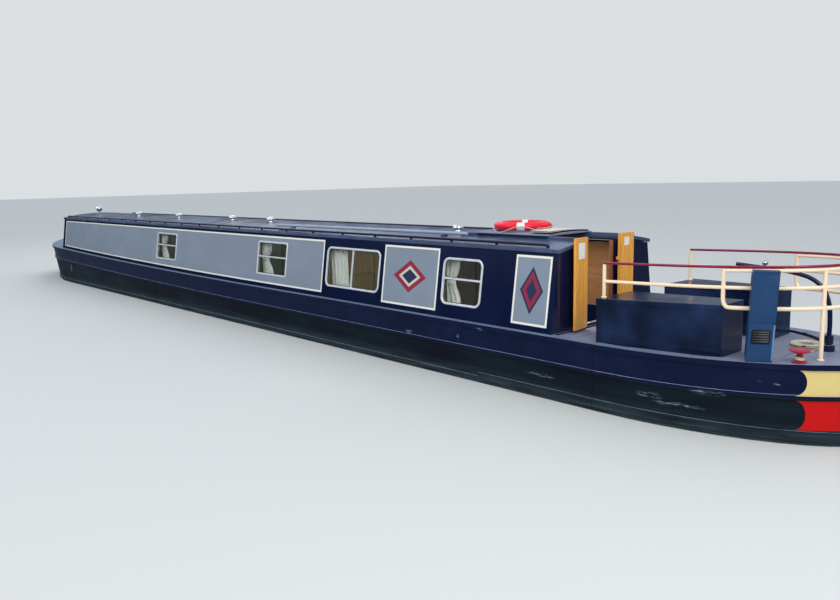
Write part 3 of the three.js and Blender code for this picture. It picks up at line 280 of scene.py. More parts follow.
def outside_rectangle(tree, x, z, centre, half):
    """Distance outwards from a rectangle's edge, below 0 inside it."""
    edges = {}
    for socket, value in enumerate((x, z)):
        off = away_from(tree, value, centre[socket])
        edges[socket] = add(tree, "ShaderNodeMath", {0: off, 1: half[socket]}, operation="SUBTRACT")
    return add(tree, "ShaderNodeMath", edges, operation="MAXIMUM")


def board_joints(tree, along, width, offset=0.0, wide=0.003):
    """1 on the joint between two boards and 0 on the boards, which are width metres wide."""
    start = add(tree, "ShaderNodeMath", {0: along, 1: offset}, operation="SUBTRACT")
    place = add(tree, "ShaderNodeMath", {0: start, 1: width, 2: 0.0}, operation="WRAP")
    off = away_from(tree, place, width / 2)
    edge = {"Value": off, "From Min": width / 2 - wide, "From Max": width / 2 - wide / 4}
    return add(tree, "ShaderNodeMapRange", edge)


def enamel(name, colour, roughness=0.16, wear=0.35):
    """Alkyd enamel brushed on steel: a wet gloss with faint ripples, dulled and paler in dusted patches.

    On the lockers, whose patches are made much paler, these patches are painted reflections of the sky.
    """

    def inputs(tree):
        dust_and_sheen = patches(tree, 450, 0.42, 0.75)
        # The patches go paler by the wear factor: dusting on most enamels, and painted reflections of the sky
        # on the lockers
        paler_patches = add(tree, "ShaderNodeMix", {0: dust_and_sheen, 6: colour, 7: shade(colour, 1 + wear)}, data_type="RGBA")
        gloss = {"Value": dust_and_sheen, "To Min": roughness, "To Max": roughness + 0.16}
        dull = add(tree, "ShaderNodeMapRange", gloss)
        return {"Base Color": paler_patches, "Roughness": dull, "IOR": 1.48, "Normal": brushed_ripple(tree)}

    return finish(name, inputs)


# Bands round the counter: how far the middle lies below the gunwale, and half the depth
CREAM_BAND = (0.157, 0.109)
RED_BAND = (0.437, 0.127)
BAND_END_X = -9.762
BAND_BULGE = 0.075

# The bitumen begins this far below the gunwale, and the plates are butt-welded here
BITUMEN_BELOW = 0.286
WELD_X = -8.0

# Scuffs on the port side: x, height, half length, half height
SCUFFS = (
    (-5.315, 0.435, 0.070, 0.030),
    (-6.163, 0.478, 0.030, 0.045),
    (-6.520, 0.613, 0.110, 0.018),
    (-8.600, 0.270, 0.150, 0.032),
    (-8.860, 0.220, 0.260, 0.026),
    (-9.120, 0.375, 0.170, 0.030),
    (-9.530, 0.522, 0.040, 0.010),
    (-9.640, 0.512, 0.042, 0.010),
    (-7.350, 0.245, 0.200, 0.020),
    (6.900, 0.360, 0.060, 0.120),
)


def counter_band(tree, x, below, band):
    """1 on a band round the counter, whose fore end is a half round."""
    middle, deep = band
    up = add(tree, "ShaderNodeMath", {0: below, 1: middle}, operation="SUBTRACT")
    up = add(tree, "ShaderNodeMath", {0: up, 1: deep}, operation="DIVIDE")
    square = add(tree, "ShaderNodeMath", {0: up, 1: up}, operation="MULTIPLY")
    bulge = add(tree, "ShaderNodeMath", {0: 1.0, 1: square}, operation="SUBTRACT")
    bulge = add(tree, "ShaderNodeMath", {0: bulge, 1: 0.0}, operation="MAXIMUM")
    bulge = add(tree, "ShaderNodeMath", {0: bulge}, operation="SQRT")
    edge = {0: bulge, 1: -BAND_BULGE, 2: BAND_END_X}
    edge = add(tree, "ShaderNodeMath", edge, operation="MULTIPLY_ADD")
    aft = add(tree, "ShaderNodeMath", {0: x, 1: edge}, operation="LESS_THAN")
    inside = add(tree, "ShaderNodeMath", {0: square, 1: 1.0}, operation="LESS_THAN")
    return add(tree, "ShaderNodeMath", {0: aft, 1: inside}, operation="MULTIPLY")


def scuffed(tree, x, y, z):
    """1 where a lock wall or a mooring has scraped the port side to a pale grey."""
    streaks = add(tree, "ShaderNodeMapping", {0: object_place(tree), "Scale": (9.0, 9.0, 110.0)})
    scraped = patches(tree, 1000, 0.50, 0.66, detail=7.0, distortion=0.8, place=streaks)
    whole = 0.0
    for middle, height, long, tall in SCUFFS:
        out = 0.0
        for value, centre, half in ((x, middle, long), (z, height, tall)):
            off = away_from(tree, value, centre)
            off = add(tree, "ShaderNodeMath", {0: off, 1: half}, operation="DIVIDE")
            out = add(tree, "ShaderNodeMath", {0: off, 1: off, 2: out}, operation="MULTIPLY_ADD")
        spot = add(tree, "ShaderNodeMapRange", {"Value": out, "From Min": 1.0, "From Max": 0.3})
        whole = add(tree, "ShaderNodeMath", {0: spot, 1: whole}, operation="MAXIMUM")
    port = add(tree, "ShaderNodeMath", {0: y, 1: 0.3}, operation="GREATER_THAN")
    whole = add(tree, "ShaderNodeMath", {0: whole, 1: port}, operation="MULTIPLY")
    return add(tree, "ShaderNodeMath", {0: whole, 1: scraped}, operation="MULTIPLY")


def hull_enamel(name):
    """Enamel brushed on the topsides and bitumen brushed below the strake.

    The eye gets a pale dusted walkway, whose blue grey is partly a painted reflection of the sky, deep navy
    with a soft gloss, a duller blue black under it, thin pale lines on the strips' ledges, partly where
    dusting and rubbing have taken the colour off and partly a painted highlight of the sky, and two bright
    bands."""
    colours = paint()

    def inputs(tree):
        x, y, z = place_parts(tree)[:3]
        below = add(tree, "ShaderNodeMath", {0: sheer_height(tree, x), 1: z}, operation="SUBTRACT")
        worn = patches(tree, 333, 0.45, 0.8, detail=6.0)
        # Each layer is a mask and the colour that lies over the others where the mask is 1
        layers = [(worn, shade(colours.navy, 1.5))]
        # Long sweeps of lighter bitumen where the brush ran dry
        swept = add(tree, "ShaderNodeMapping", {0: object_place(tree), "Scale": (0.5, 0.5, 3.0)})
        dry = patches(tree, 900, 0.42, 0.75, detail=5.0, place=swept)
        tar = {0: dry, 6: colours.blacking, 7: linear("14242e")}
        low = add(tree, "ShaderNodeMath", {0: below, 1: BITUMEN_BELOW}, operation="GREATER_THAN")
        layers.append((low, add(tree, "ShaderNodeMix", tar, data_type="RGBA")))
        # Chalk and slime that dries teal grey, some 150 mm deep at the water, in drips and tide lines
        tide = add(tree, "ShaderNodeMapping", {0: object_place(tree), "Scale": (1.0, 1.0, 14.0)})
        slime = patches(tree, 500, 0.25, 0.75, detail=8.0, place=tide)
        reach = {"Value": z, "From Min": 0.19, "From Max": 0.01, "To Max": 0.8}
        reach = add(tree, "ShaderNodeMapRange", reach)
        slime = add(tree, "ShaderNodeMath", {0: slime, 1: reach}, operation="MULTIPLY")
        layers.append((slime, linear("46565e")))
        for band, colour in ((CREAM_BAND, colours.cream), (RED_BAND, colours.red)):
            old = {0: worn, 6: colour, 7: shade(colour, 0.86)}
            old = add(tree, "ShaderNodeMix", old, data_type="RGBA")
            layers.append((counter_band(tree, x, below, band), old))
        facing = add(tree, "ShaderNodeNewGeometry").outputs["Normal"]
        upward = add(tree, "ShaderNodeSeparateXYZ", {0: facing}).outputs["Z"]
        # Dusting and rubbing leave the strips' ledges pale, teal grey on the lowest ones, and this pale is
        # also a painted highlight of the sky on the ledges
        ledge = add(tree, "ShaderNodeMath", {0: upward, 1: 0.30}, operation="GREATER_THAN")
        broken = patches(tree, 160, 0.30, 0.50, detail=6.0)
        broken = add(tree, "ShaderNodeMath", {0: broken, 1: 0.45, 2: 0.45}, operation="MULTIPLY_ADD")
        ledge_dust_and_highlight = add(tree, "ShaderNodeMath", {0: ledge, 1: broken}, operation="MULTIPLY")
        dust_and_sheen = {0: low, 6: linear("a3aecb"), 7: linear("7b8f98")}
        layers.append((ledge_dust_and_highlight, add(tree, "ShaderNodeMix", dust_and_sheen, data_type="RGBA")))
        # The walkway on top of the gunwale turns into the deck's grey round the stern. Along the sides its
        # blue grey is partly a painted reflection of the sky.
        top = add(tree, "ShaderNodeMath", {0: upward, 1: 0.6}, operation="GREATER_THAN")
        high = add(tree, "ShaderNodeMath", {0: below, 1: 0.02}, operation="LESS_THAN")
        walk = add(tree, "ShaderNodeMath", {0: top, 1: high}, operation="MULTIPLY")
        astern = add(tree, "ShaderNodeMapRange", {"Value": x, "From Min": -8.6, "From Max": -9.6})
        grey = {0: astern, 6: colours.side_deck, 7: colours.deck}
        grey = add(tree, "ShaderNodeMix", grey, data_type="RGBA")
        trodden = {0: worn, 6: grey, 7: shade(colours.side_deck, 0.7)}
        layers.append((walk, add(tree, "ShaderNodeMix", trodden, data_type="RGBA")))
        layers.append((scuffed(tree, x, y, z), linear("8799a6")))
        # The butt weld of two plates stands 3 mm proud across the side
        seam = {"Value": away_from(tree, x, WELD_X), "From Min": 0.009, "From Max": 0.0}
        seam = add(tree, "ShaderNodeMapRange", seam)
        bead = {"Height": seam, "Strength": 0.9, "Distance": 0.003, "Normal": brushed_ripple(tree, 0.06)}
        weld = add(tree, "ShaderNodeBump", bead)
        drawn = add(tree, "ShaderNodeMath", {0: seam, 1: 0.7}, operation="MULTIPLY")
        layers.append((drawn, linear("0a0d14")))
        coat = colours.navy
        for mask, colour in layers:
            coat = add(tree, "ShaderNodeMix", {0: mask, 6: coat, 7: colour}, data_type="RGBA")
        gloss = add(tree, "ShaderNodeMapRange", {"Value": worn, "To Min": 0.17, "To Max": 0.34})
        for mask, more in ((low, 0.16), (walk, 0.25), (slime, 0.3)):
            gloss = add(tree, "ShaderNodeMath", {0: mask, 1: more, 2: gloss}, operation="MULTIPLY_ADD")
        surface = {"Base Color": coat, "Roughness": gloss, "Normal": weld}
        return surface | {"IOR": 1.48, "Specular IOR Level": 0.34}

    return finish(name, inputs)


# Panels on the cabin sides: fore and aft edge, all from 723 mm to 1453 mm above the water
LONG_PANEL = (-3.365, 7.510)
SHORT_PANELS = ((-5.705, -4.693), (-7.371, -6.888))
PANEL_MIDDLE = 1.088
PANEL_HALF = 0.365

# Plain lozenges on the two short panels, one inside another: middle, half length, half height, colour
LOZENGES = (
    (-5.199, 0.300, 0.200, "8e1c3c"),
    (-5.199, 0.200, 0.130, "c9c3b4"),
    (-5.199, 0.140, 0.090, "20264e"),
    (-7.130, 0.155, 0.250, "20264e"),
    (-7.130, 0.125, 0.205, "8e1c3c"),
    (-7.130, 0.075, 0.120, "20264e"),
)


def cabin_enamel(name):
    """Coach enamel brushed on the cabin sides, with sign-written panels.

    The eye gets a dark navy mirror round soft matt grey fields with crisp pale edges."""
    colours = paint()
    border = sizes().border

    def inputs(tree):
        x, _, z = place_parts(tree)[:3]
        worn = patches(tree, 385, 0.45, 0.8)
        navy, grey = colours.navy, colours.panel
        colour = add(tree, "ShaderNodeMix", {0: worn, 6: navy, 7: shade(navy, 1.35)}, data_type="RGBA")
        field = add(tree, "ShaderNodeMix", {0: worn, 6: grey, 7: shade(grey, 1.12)}, data_type="RGBA")
        # The long panel's lower edge rises with the sheer, and its upper edge is level
        lift = add(tree, "ShaderNodeMath", {0: sheer_height(tree, x), 1: SHEER_Z}, operation="SUBTRACT")
        depth = add(tree, "ShaderNodeMath", {0: 2 * PANEL_HALF, 1: lift}, operation="SUBTRACT")
        top = PANEL_MIDDLE + PANEL_HALF
        down = add(tree, "ShaderNodeMath", {0: top, 1: z}, operation="SUBTRACT")
        down = add(tree, "ShaderNodeMath", {0: down, 1: depth}, operation="DIVIDE")
        level = {0: down, 1: -2 * PANEL_HALF, 2: top}
        level = add(tree, "ShaderNodeMath", level, operation="MULTIPLY_ADD")
        matt = 0.0
        for (x0, x1), height in ((LONG_PANEL, level), (SHORT_PANELS[0], z), (SHORT_PANELS[1], z)):
            middle = ((x0 + x1) / 2, PANEL_MIDDLE)
            edge = outside_rectangle(tree, x, height, middle, ((x1 - x0) / 2, PANEL_HALF))
            line = add(tree, "ShaderNodeMath", {0: edge, 1: 0.0}, operation="LESS_THAN")
            inner = add(tree, "ShaderNodeMath", {0: edge, 1: -border}, operation="LESS_THAN")
            colour = add(tree, "ShaderNodeMix", {0: line, 6: colour, 7: colours.line}, data_type="RGBA")
            colour = add(tree, "ShaderNodeMix", {0: inner, 6: colour, 7: field}, data_type="RGBA")
            matt = add(tree, "ShaderNodeMath", {0: inner, 1: matt}, operation="MAXIMUM")
        for middle, across, up, code in LOZENGES:
            out = 0.0
            for value, centre, half in ((x, middle, across), (z, PANEL_MIDDLE, up)):
                off = away_from(tree, value, centre)
                out = add(tree, "ShaderNodeMath", {0: off, 1: 1 / half, 2: out}, operation="MULTIPLY_ADD")
            inside = add(tree, "ShaderNodeMath", {0: out, 1: 1.0}, operation="LESS_THAN")
            colour = add(tree, "ShaderNodeMix", {0: inside, 6: colour, 7: linear(code)}, data_type="RGBA")
        gloss = add(tree, "ShaderNodeMapRange", {"Value": worn, "To Min": 0.10, "To Max": 0.2})
        gloss = add(tree, "ShaderNodeMath", {0: matt, 1: 0.28, 2: gloss}, operation="MULTIPLY_ADD")
        return {"Base Color": colour, "Roughness": gloss, "IOR": 1.48, "Normal": brushed_ripple(tree)}

    return finish(name, inputs)


def varnished_boards(name, colour, across="Y", gloss=0.3, board=None):
    """Oak planed and varnished: warm long grain with dark pores, a joint at each board and a soft shine."""

    def inputs(tree):
        parts = place_parts(tree)
        stretch = {"Y": (60.0, 60.0, 3.5), "X": (3.5, 60.0, 60.0)}[across]
        grain_place = add(tree, "ShaderNodeMapping", {0: object_place(tree), "Scale": stretch})
        grain = patches(tree, 1000, 0.35, 0.68, detail=6.0, distortion=0.6, place=grain_place)
        # Real pores are 0.3 mm wide: these are drawn some 4 mm wide to show at all
        pores = patches(tree, 250, 0.55, 0.7, detail=3.0, place=grain_place)
        joint = board_joints(tree, parts[across], board or sizes().board)
        wood = shade(colour, 1.2)
        for mask, factor in ((grain, 0.86), (pores, 0.7), (joint, 0.25)):
            wood = {0: mask, 6: wood, 7: shade(colour, factor)}
            wood = add(tree, "ShaderNodeMix", wood, data_type="RGBA")
        groove = add(tree, "ShaderNodeMath", {0: 1.0, 1: joint}, operation="SUBTRACT")
        carved = add(tree, "ShaderNodeBump", {"Height": groove, "Strength": 0.5, "Distance": 0.003})
        relief = {"Height": pores, "Strength": 0.12, "Distance": 0.001, "Normal": carved}
        rough = add(tree, "ShaderNodeBump", relief)
        return {"Base Color": wood, "Roughness": gloss, "IOR": 1.5, "Normal": rough}

    return finish(name, inputs)


def grit_paint(name, colour, board=0.61, offset=-8.285):
    """Non-slip deck paint rolled over marine ply: matt grey with a sandy grit and foot wear."""

    def inputs(tree):
        x = place_parts(tree)[0]
        worn = patches(tree, 285, 0.4, 0.72, detail=7.0)
        # Grit of 0.5 mm, drawn at 6 mm so that it shows
        fleck = patches(tree, 6, 0.4, 0.8, detail=3.0)
        seam = board_joints(tree, x, board, offset, 0.007)
        base = colour
        for mask, factor in ((worn, 0.76), (fleck, 1.2), (seam, 0.15)):
            base = {0: mask, 6: base, 7: shade(colour, factor)}
            base = add(tree, "ShaderNodeMix", base, data_type="RGBA")
        bump = add(tree, "ShaderNodeBump", {"Height": fleck, "Strength": 0.4, "Distance": 0.002})
        return {"Base Color": base, "Roughness": 0.72, "IOR": 1.45, "Normal": bump}

    return finish(name, inputs)


def bare_metal(name, colour, roughness, marks=4.5, stain=None, metallic=1.0):
    """A bare metal with fine marks from its finishing, and a stain in patches where it has one.

    Polishing and brushing marks are far finer than the 4.5 mm drawn here, which is the least that shows."""

    def inputs(tree):
        cloud = {"Vector": object_place(tree), "Scale": 1000.0 / marks, "Detail": 3.0}
        lines = add(tree, "ShaderNodeTexNoise", cloud).outputs["Fac"]
        gloss = {"Value": lines, "To Min": roughness * 0.7, "To Max": roughness * 1.5}
        dull = add(tree, "ShaderNodeMapRange", gloss)
        worn = patches(tree, 110, 0.5, 0.75, detail=5.0)
        tone = {0: worn, 6: colour, 7: stain or shade(colour, 0.8)}
        tone = add(tree, "ShaderNodeMix", tone, data_type="RGBA")
        bump = add(tree, "ShaderNodeBump", {"Height": lines, "Strength": 0.06, "Distance": 0.001})
        return {"Base Color": tone, "Metallic": metallic, "Roughness": dull, "Normal": bump}

    return finish(name, inputs)


def rolled_bitumen(name):
    """Bitumen rolled on the bottom plates: a thick soft black with roller stipple and rust."""

    def inputs(tree):
        rust = patches(tree, 200, 0.62, 0.75, detail=7.0)
        black, brown = paint().blacking, linear("3d2a20")
        # Roller stipple of 4 mm, drawn at 8 mm so that it shows
        return {
            "Base Color": add(tree, "ShaderNodeMix", {0: rust, 6: black, 7: brown}, data_type="RGBA"),
            "Roughness": 0.55,
            "IOR": 1.6,
            "Normal": fine_grain(tree, 8, 0.4, 0.003),
        }

    return finish(name, inputs)


def woven(name, colour, thread=0.0022, sheen=0.25):
    """Plain woven cotton: matt, with crossing threads. A real thread is 0.4 mm, drawn at 2 mm to show."""

    def inputs(tree):
        parts = place_parts(tree)
        slub = patches(tree, 25, 0.3, 0.75, detail=3.0)
        yarn = add(tree, "ShaderNodeMix", {0: slub, 6: colour, 7: shade(colour, 0.85)}, data_type="RGBA")
        waves = {}
        for socket, axis in enumerate("XZ"):
            turn = {0: parts[axis], 1: 2 * math.pi / thread}
            phase = add(tree, "ShaderNodeMath", turn, operation="MULTIPLY")
            waves[socket] = add(tree, "ShaderNodeMath", {0: phase}, operation="SINE")
        weave = add(tree, "ShaderNodeMath", waves, operation="MULTIPLY")
        bump = add(tree, "ShaderNodeBump", {"Height": weave, "Strength": 0.25, "Distance": 0.0006})
        surface = {"Base Color": yarn, "Roughness": 0.9, "Normal": bump}
        return surface | {"Sheen Weight": sheen, "Sheen Roughness": 0.5}

    return finish(name, inputs)


def laid_rope(name, code):
    """Laid rope: three soft strands, greyed by deck dirt. Its fibres are drawn 1 mm wide to show."""

    def inputs(tree):
        dirt = patches(tree, 70, 0.35, 0.75, detail=5.0)
        colour = linear(code)
        soiled = shade(colour, 0.62)
        return {
            "Base Color": add(tree, "ShaderNodeMix", {0: dirt, 6: colour, 7: soiled}, data_type="RGBA"),
            "Roughness": 0.85,
            "Sheen Weight": 0.2,
            "Normal": fine_grain(tree, 1.1, 0.5, 0.001),
        }

    return finish(name, inputs)


def moulded(name, code, roughness=0.35, skin=3.3):
    """Moulded plastic or rubber: an even colour, chalked a little by the sun, and a fine skin.

    The grain of a real skin is some 0.2 mm wide, and is drawn 1 mm to 7 mm wide to show."""

    def inputs(tree):
        chalk = patches(tree, skin * 20, 0.45, 0.8)
        colour = linear(code)
        chalked = shade(colour, 0.82)
        return {
            "Base Color": add(tree, "ShaderNodeMix", {0: chalk, 6: colour, 7: chalked}, data_type="RGBA"),
            "Roughness": roughness,
            "IOR": 1.46,
            "Normal": fine_grain(tree, skin, 0.1, 0.001),
        }

    return finish(name, inputs)


def float_glass(name):
    """Toughened float glass, faintly green: clear face on, a sky mirror at a slant. Daylight passes it."""
    material = bpy.data.materials.new(name)
    material.use_nodes = True
    tree = material.node_tree
    tree.nodes.clear()
    smear = patches(tree, 166, 0.4, 0.8)
    glass = {
        "Base Color": linear("f3f8f6"),
        "Transmission Weight": 1.0,
        "IOR": 1.5,
        "Roughness": add(tree, "ShaderNodeMapRange", {"Value": smear, "To Min": 0.0, "To Max": 0.05}),
    }
    pane = add(tree, "ShaderNodeBsdfPrincipled", glass)
    clear = add(tree, "ShaderNodeBsdfTransparent", {"Color": linear("f3f8f6")})
    lamps = add(tree, "ShaderNodeLightPath").outputs["Is Shadow Ray"]
    both = add(tree, "ShaderNodeMixShader", {0: lamps, 1: pane, 2: clear})
    add(tree, "ShaderNodeOutputMaterial", {"Surface": both})
    return material


# Shapes

# A bevel takes the edges that fold by more than this, in radians
BEVELLED_FOLD = 0.6


def angles(sides):
    """The directions of the points of a ring."""
    return [2 * math.pi * k / sides for k in range(sides)]


def spread(start, end, count):
    """A row of numbers at equal steps, count of them after the first."""
    return [start + (end - start) * i / count for i in range(count + 1)]


class Shape:
    """Gathers the points and faces of one piece, in metres in the boat's frame."""

    def __init__(self):
        self.points = []
        self.faces = []

    def join(self, points, faces):
        """Adds points, and the faces that count in them."""
        start = len(self.points)
        self.points += [tuple(p) for p in points]
        self.faces += [[i + start for i in face] for face in faces]

    def rings(self, rings, closed=False, capped=True):
        """A skin over rings that all have the same number of points."""
        count = len(rings[0])
        points = [p for ring in rings for p in ring]
        faces = []
        last = len(rings) if closed else len(rings) - 1
        for i in range(last):
            a, b = i * count, (i + 1) % len(rings) * count
            for k in range(count):
                m = (k + 1) % count
                faces.append((a + k, a + m, b + m, b + k))
        if capped and not closed:
            faces.append(tuple(range(count))[::-1])
            faces.append(tuple((len(rings) - 1) * count + k for k in range(count)))
        self.join(points, faces)

    def tube(self, route, radius, sides=16, taper=0.0):
        """A round bar along a route. radius is a number or one for each point."""
        route = [Vector(p) for p in route]
        radii = radius if isinstance(radius, (list, tuple)) else [radius] * len(route)
        if taper:
            route, radii = tapered_ends(route, radii, taper)
        rings = []
        for (place, side, up), r in zip(carried(route), radii):
            rings.append([place + (side * math.cos(a) + up * math.sin(a)) * r for a in angles(sides)])
        self.rings(rings)

    def strands(self, route, thick, step, lay, sides):
        """Three strands laid along a route with points at equal steps, one turn in each lay."""
        rings = []
        for i, (place, side, up) in enumerate(carried(route)):
            turn = 2 * math.pi * i * step / lay
            ring = []
            for a in angles(sides):
                radius = thick / 2 * (0.88 + 0.12 * math.cos(3 * (a - turn)))
                ring.append(place + (side * math.cos(a) + up * math.sin(a)) * radius)
            rings.append(ring)
        self.rings(rings)

    def turned(self, profile, centre, axis="Z", sides=32):
        """A body turned about the Z or X axis from (radius, height) pairs, closed where the radius is 0."""
        turn = Matrix.Rotation(math.pi / 2, 3, "Y") if axis == "X" else Matrix.Identity(3)
        rings = []
        for radius, height in profile:
            r = max(radius, 1e-5)
            round_z = [Vector((r * math.cos(a), r * math.sin(a), height)) for a in angles(sides)]
            rings.append([Vector(centre) + turn @ p for p in round_z])
        self.rings(rings)

    def block(self, low, high):
        """A box between two opposite corners."""
        sides = [(0, 1, 3, 2), (4, 6, 7, 5), (0, 4, 5, 1), (2, 3, 7, 6), (0, 2, 6, 4), (1, 5, 7, 3)]
        self.join(itertools.product(*zip(low, high)), sides)

    def plate(self, us, vs, top, under, keep=lambda u, v: True):
        """A plate on a grid, with a hole wherever keep says no. top and under give points."""
        index = {}
        points, faces = [], []

        def corner(i, j, side):
            key = (i, j, side)
            if key not in index:
                index[key] = len(points)
                points.append(tuple((top, under)[side](us[i], vs[j])))
            return index[key]

        kept = {
            (i, j)
            for i in range(len(us) - 1)
            for j in range(len(vs) - 1)
            if keep((us[i] + us[i + 1]) / 2, (vs[j] + vs[j + 1]) / 2)
        }
        for i, j in kept:
            square = [(i, j), (i + 1, j), (i + 1, j + 1), (i, j + 1)]
            faces.append([corner(*c, 0) for c in square])
            faces.append([corner(*c, 1) for c in square][::-1])
            beside = [(i, j - 1), (i + 1, j), (i, j + 1), (i - 1, j)]
            for k, neighbour in enumerate(beside):
                if neighbour not in kept:
                    a, b = square[k], square[(k + 1) % 4]
                    faces.append([corner(*b, 0), corner(*a, 0), corner(*a, 1), corner(*b, 1)])
        self.join(points, faces)

    def slab(self, outline, lift, near, far, hole=None):
        """An outline of (u, v) pairs made thick by lift(u, v, distance), with a hole of as many points."""
        edges = [(outline, near), (outline, far)]
        if hole:
            edges += [(hole, far), (hole, near)]
        self.rings([[lift(u, v, d) for u, v in edge] for edge, d in edges], closed=bool(hole))

    def make(self, name, material, body="boat", smooth=35, bevel=0.0):
        """Makes the piece, with sharp edges where it folds by more than smooth degrees."""
        mesh = bpy.data.meshes.new(name)
        mesh.from_pydata(self.points, [], self.faces)
        mesh.materials.append(material)
        work = bmesh.new()
        work.from_mesh(mesh)
        bmesh.ops.remove_doubles(work, verts=work.verts, dist=2e-6)
        bmesh.ops.recalc_face_normals(work, faces=work.faces)
        if bevel:
            edges = [e for e in work.edges if e.is_manifold and e.calc_face_angle() > BEVELLED_FOLD]
            rounding = {"segments": 2, "affect": "EDGES", "profile": 0.5, "clamp_overlap": True}
            bmesh.ops.bevel(work, geom=edges, offset=bevel, **rounding)
        for face in work.faces:
            face.smooth = True
        for edge in work.edges:
            edge.smooth = edge.is_manifold and edge.calc_face_angle() < math.radians(smooth)
        work.to_mesh(mesh)
        work.free()
        obj = bpy.data.objects.new(name, mesh)
        bpy.context.scene.collection.objects.link(obj)
        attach(obj, body)
        return obj


def carried(route):
    """Each point of a route with two directions square to it, carried along without twist."""
    befores = [route[0], *route[:-1]]
    afters = [*route[1:], route[-1]]
    tangents = [(after - before).normalized() for before, after in zip(befores, afters)]
    first = Vector((0, 0, 1)) if abs(tangents[0].z) < 0.9 else Vector((1, 0, 0))
    side = tangents[0].cross(first).normalized()
    frames = []
    for place, tangent in zip(route, tangents):
        side = (side - tangent * side.dot(tangent)).normalized()
        frames.append((place, side, side.cross(tangent)))
    return frames


def tapered_ends(route, radii, depth):
    """The same route, whose radius falls to almost nothing over the last depth metres at each end."""
    steps = 5
    parts = [math.sin(math.pi / 2 * i / steps) for i in range(steps + 1)]
    ends = []
    for end, beside, radius in ((route[0], route[1], radii[0]), (route[-1], route[-2], radii[-1])):
        reach = depth / (beside - end).length
        ends.append([(end.lerp(beside, reach * part), radius * max(part, 0.02)) for part in parts])
    head, tail = ends
    return zip(*head, *zip(route[1:-1], radii[1:-1]), *tail[::-1])


def curved(points, steps=8):
    """A smooth route through a few points."""
    points = [Vector(p) for p in points]
    ends = [points[0] * 2 - points[1]] + points + [points[-1] * 2 - points[-2]]
    route = []
    for i in range(1, len(ends) - 2):
        a, b, c, d = ends[i - 1 : i + 3]
        square, cube = 2 * a - 5 * b + 4 * c - d, 3 * b - a - 3 * c + d
        for k in range(steps):
            t = k / steps
            route.append(0.5 * (2 * b + (c - a) * t + square * t**2 + cube * t**3))
    return route + [points[-1]]


def evenly(route, step):
    """The same route with points at equal steps."""
    made = [route[0]]
    left = step
    for a, b in zip(route, route[1:]):
        span = (b - a).length
        done = 0.0
        while span - done > left:
            done += left
            made.append(a.lerp(b, done / span))
            left = step
        left -= span - done
    return made + ([route[-1]] if (route[-1] - made[-1]).length > step * 0.3 else [])


def length_of(route):
    """Length along a route, in metres."""
    return sum((b - a).length for a, b in zip(route, route[1:]))


def rectangle(x0, x1, z0, z1):
    """The corners of a rectangle, as (u, v) pairs."""
    return [(x0, z0), (x1, z0), (x1, z1), (x0, z1)]


def rounded_rectangle(x0, x1, z0, z1, radius, steps=8):
    """The outline of a rectangle with round corners, as (u, v) pairs."""
    outline = []
    for cx, cz, turn in (
        (x1 - radius, z0 + radius, -0.5),
        (x1 - radius, z1 - radius, 0.0),
        (x0 + radius, z1 - radius, 0.5),
        (x0 + radius, z0 + radius, 1.0),
    ):
        for i in range(steps + 1):
            angle = math.pi * (turn + 0.5 * i / steps)
            outline.append((cx + radius * math.cos(angle), cz + radius * math.sin(angle)))
    return outline


def on_side(sign):
    """Places a point at x, height z and a distance out from the leaning cabin side."""
    length = math.hypot(1, LEAN)

    def lift(x, z, out):
        return (x, sign * (side_y(z) + out / length), z + out * LEAN / length)

    return lift


def settle(node, material, angle=30, bevel=0.0):
    """Gives a node of the solid model its finish, and soft edges by modifiers alone."""
    obj = NODES[node]
    obj.data.materials.clear()
    obj.data.materials.append(material)
    weld = obj.modifiers.new("weld", "WELD")
    weld.merge_threshold = 2e-5
    soften = obj.modifiers.new("soften", "NODES")
    soften.node_group = soft_edges(angle)
    if bevel:
        rounding = obj.modifiers.new("rounding", "BEVEL")
        rounding.width = bevel
        rounding.segments = 2
        rounding.limit_method = "ANGLE"
        rounding.angle_limit = math.radians(50)
        rounding.harden_normals = False
    return obj


def soft_edges(angle):
    """A modifier that shades shallow edges smooth and leaves sharp ones."""
    name = f"soft_edges_{angle}"
    if name in bpy.data.node_groups:
        return bpy.data.node_groups[name]
    tree = bpy.data.node_groups.new(name, "GeometryNodeTree")
    tree.interface.new_socket("Geometry", in_out="INPUT", socket_type="NodeSocketGeometry")
    tree.interface.new_socket("Geometry", in_out="OUTPUT", socket_type="NodeSocketGeometry")
    start = add(tree, "NodeGroupInput")
    bare = add(tree, "GeometryNodeRemoveAttribute", {"Geometry": start.outputs[0], "Name": "custom_normal"})
    fold = add(tree, "GeometryNodeInputMeshEdgeAngle")
    limit = {0: fold.outputs["Unsigned Angle"], 1: math.radians(angle)}
    shallow = add(tree, "FunctionNodeCompare", limit, operation="LESS_THAN")
    smooth = {"Geometry": bare, "Shade Smooth": shallow}
    edges = add(tree, "GeometryNodeSetShadeSmooth", smooth, domain="EDGE")
    smooth = {"Geometry": edges, "Shade Smooth": True}
    faces = add(tree, "GeometryNodeSetShadeSmooth", smooth, domain="FACE")
    add(tree, "NodeGroupOutput", {0: faces})
    return tree


def cloth(name, material, rows, thick, body="boat"):
    """A piece of cloth through rows of points, made thick by a modifier."""
    wide = len(rows[0])
    starts = [a for j in range(len(rows) - 1) for a in range(j * wide, (j + 1) * wide - 1)]
    shape = Shape()
    shape.join([p for row in rows for p in row], [(a, a + 1, a + wide + 1, a + wide) for a in starts])
    piece = shape.make(name, material, body, smooth=180)
    thickness = piece.modifiers.new("thickness", "SOLIDIFY")
    thickness.thickness = thick
    thickness.offset = 0
    return piece


def off_axis(middle, angle, radius, z):
    """A point at a distance from an upright axis, in a direction and at a height."""
    return Vector((middle.x + radius * math.cos(angle), middle.y + radius * math.sin(angle), z))


# Pieces


class PieceOperator(bpy.types.Operator):
    """Common ground of the boat's operators"""

    bl_options = {"REGISTER", "UNDO"}


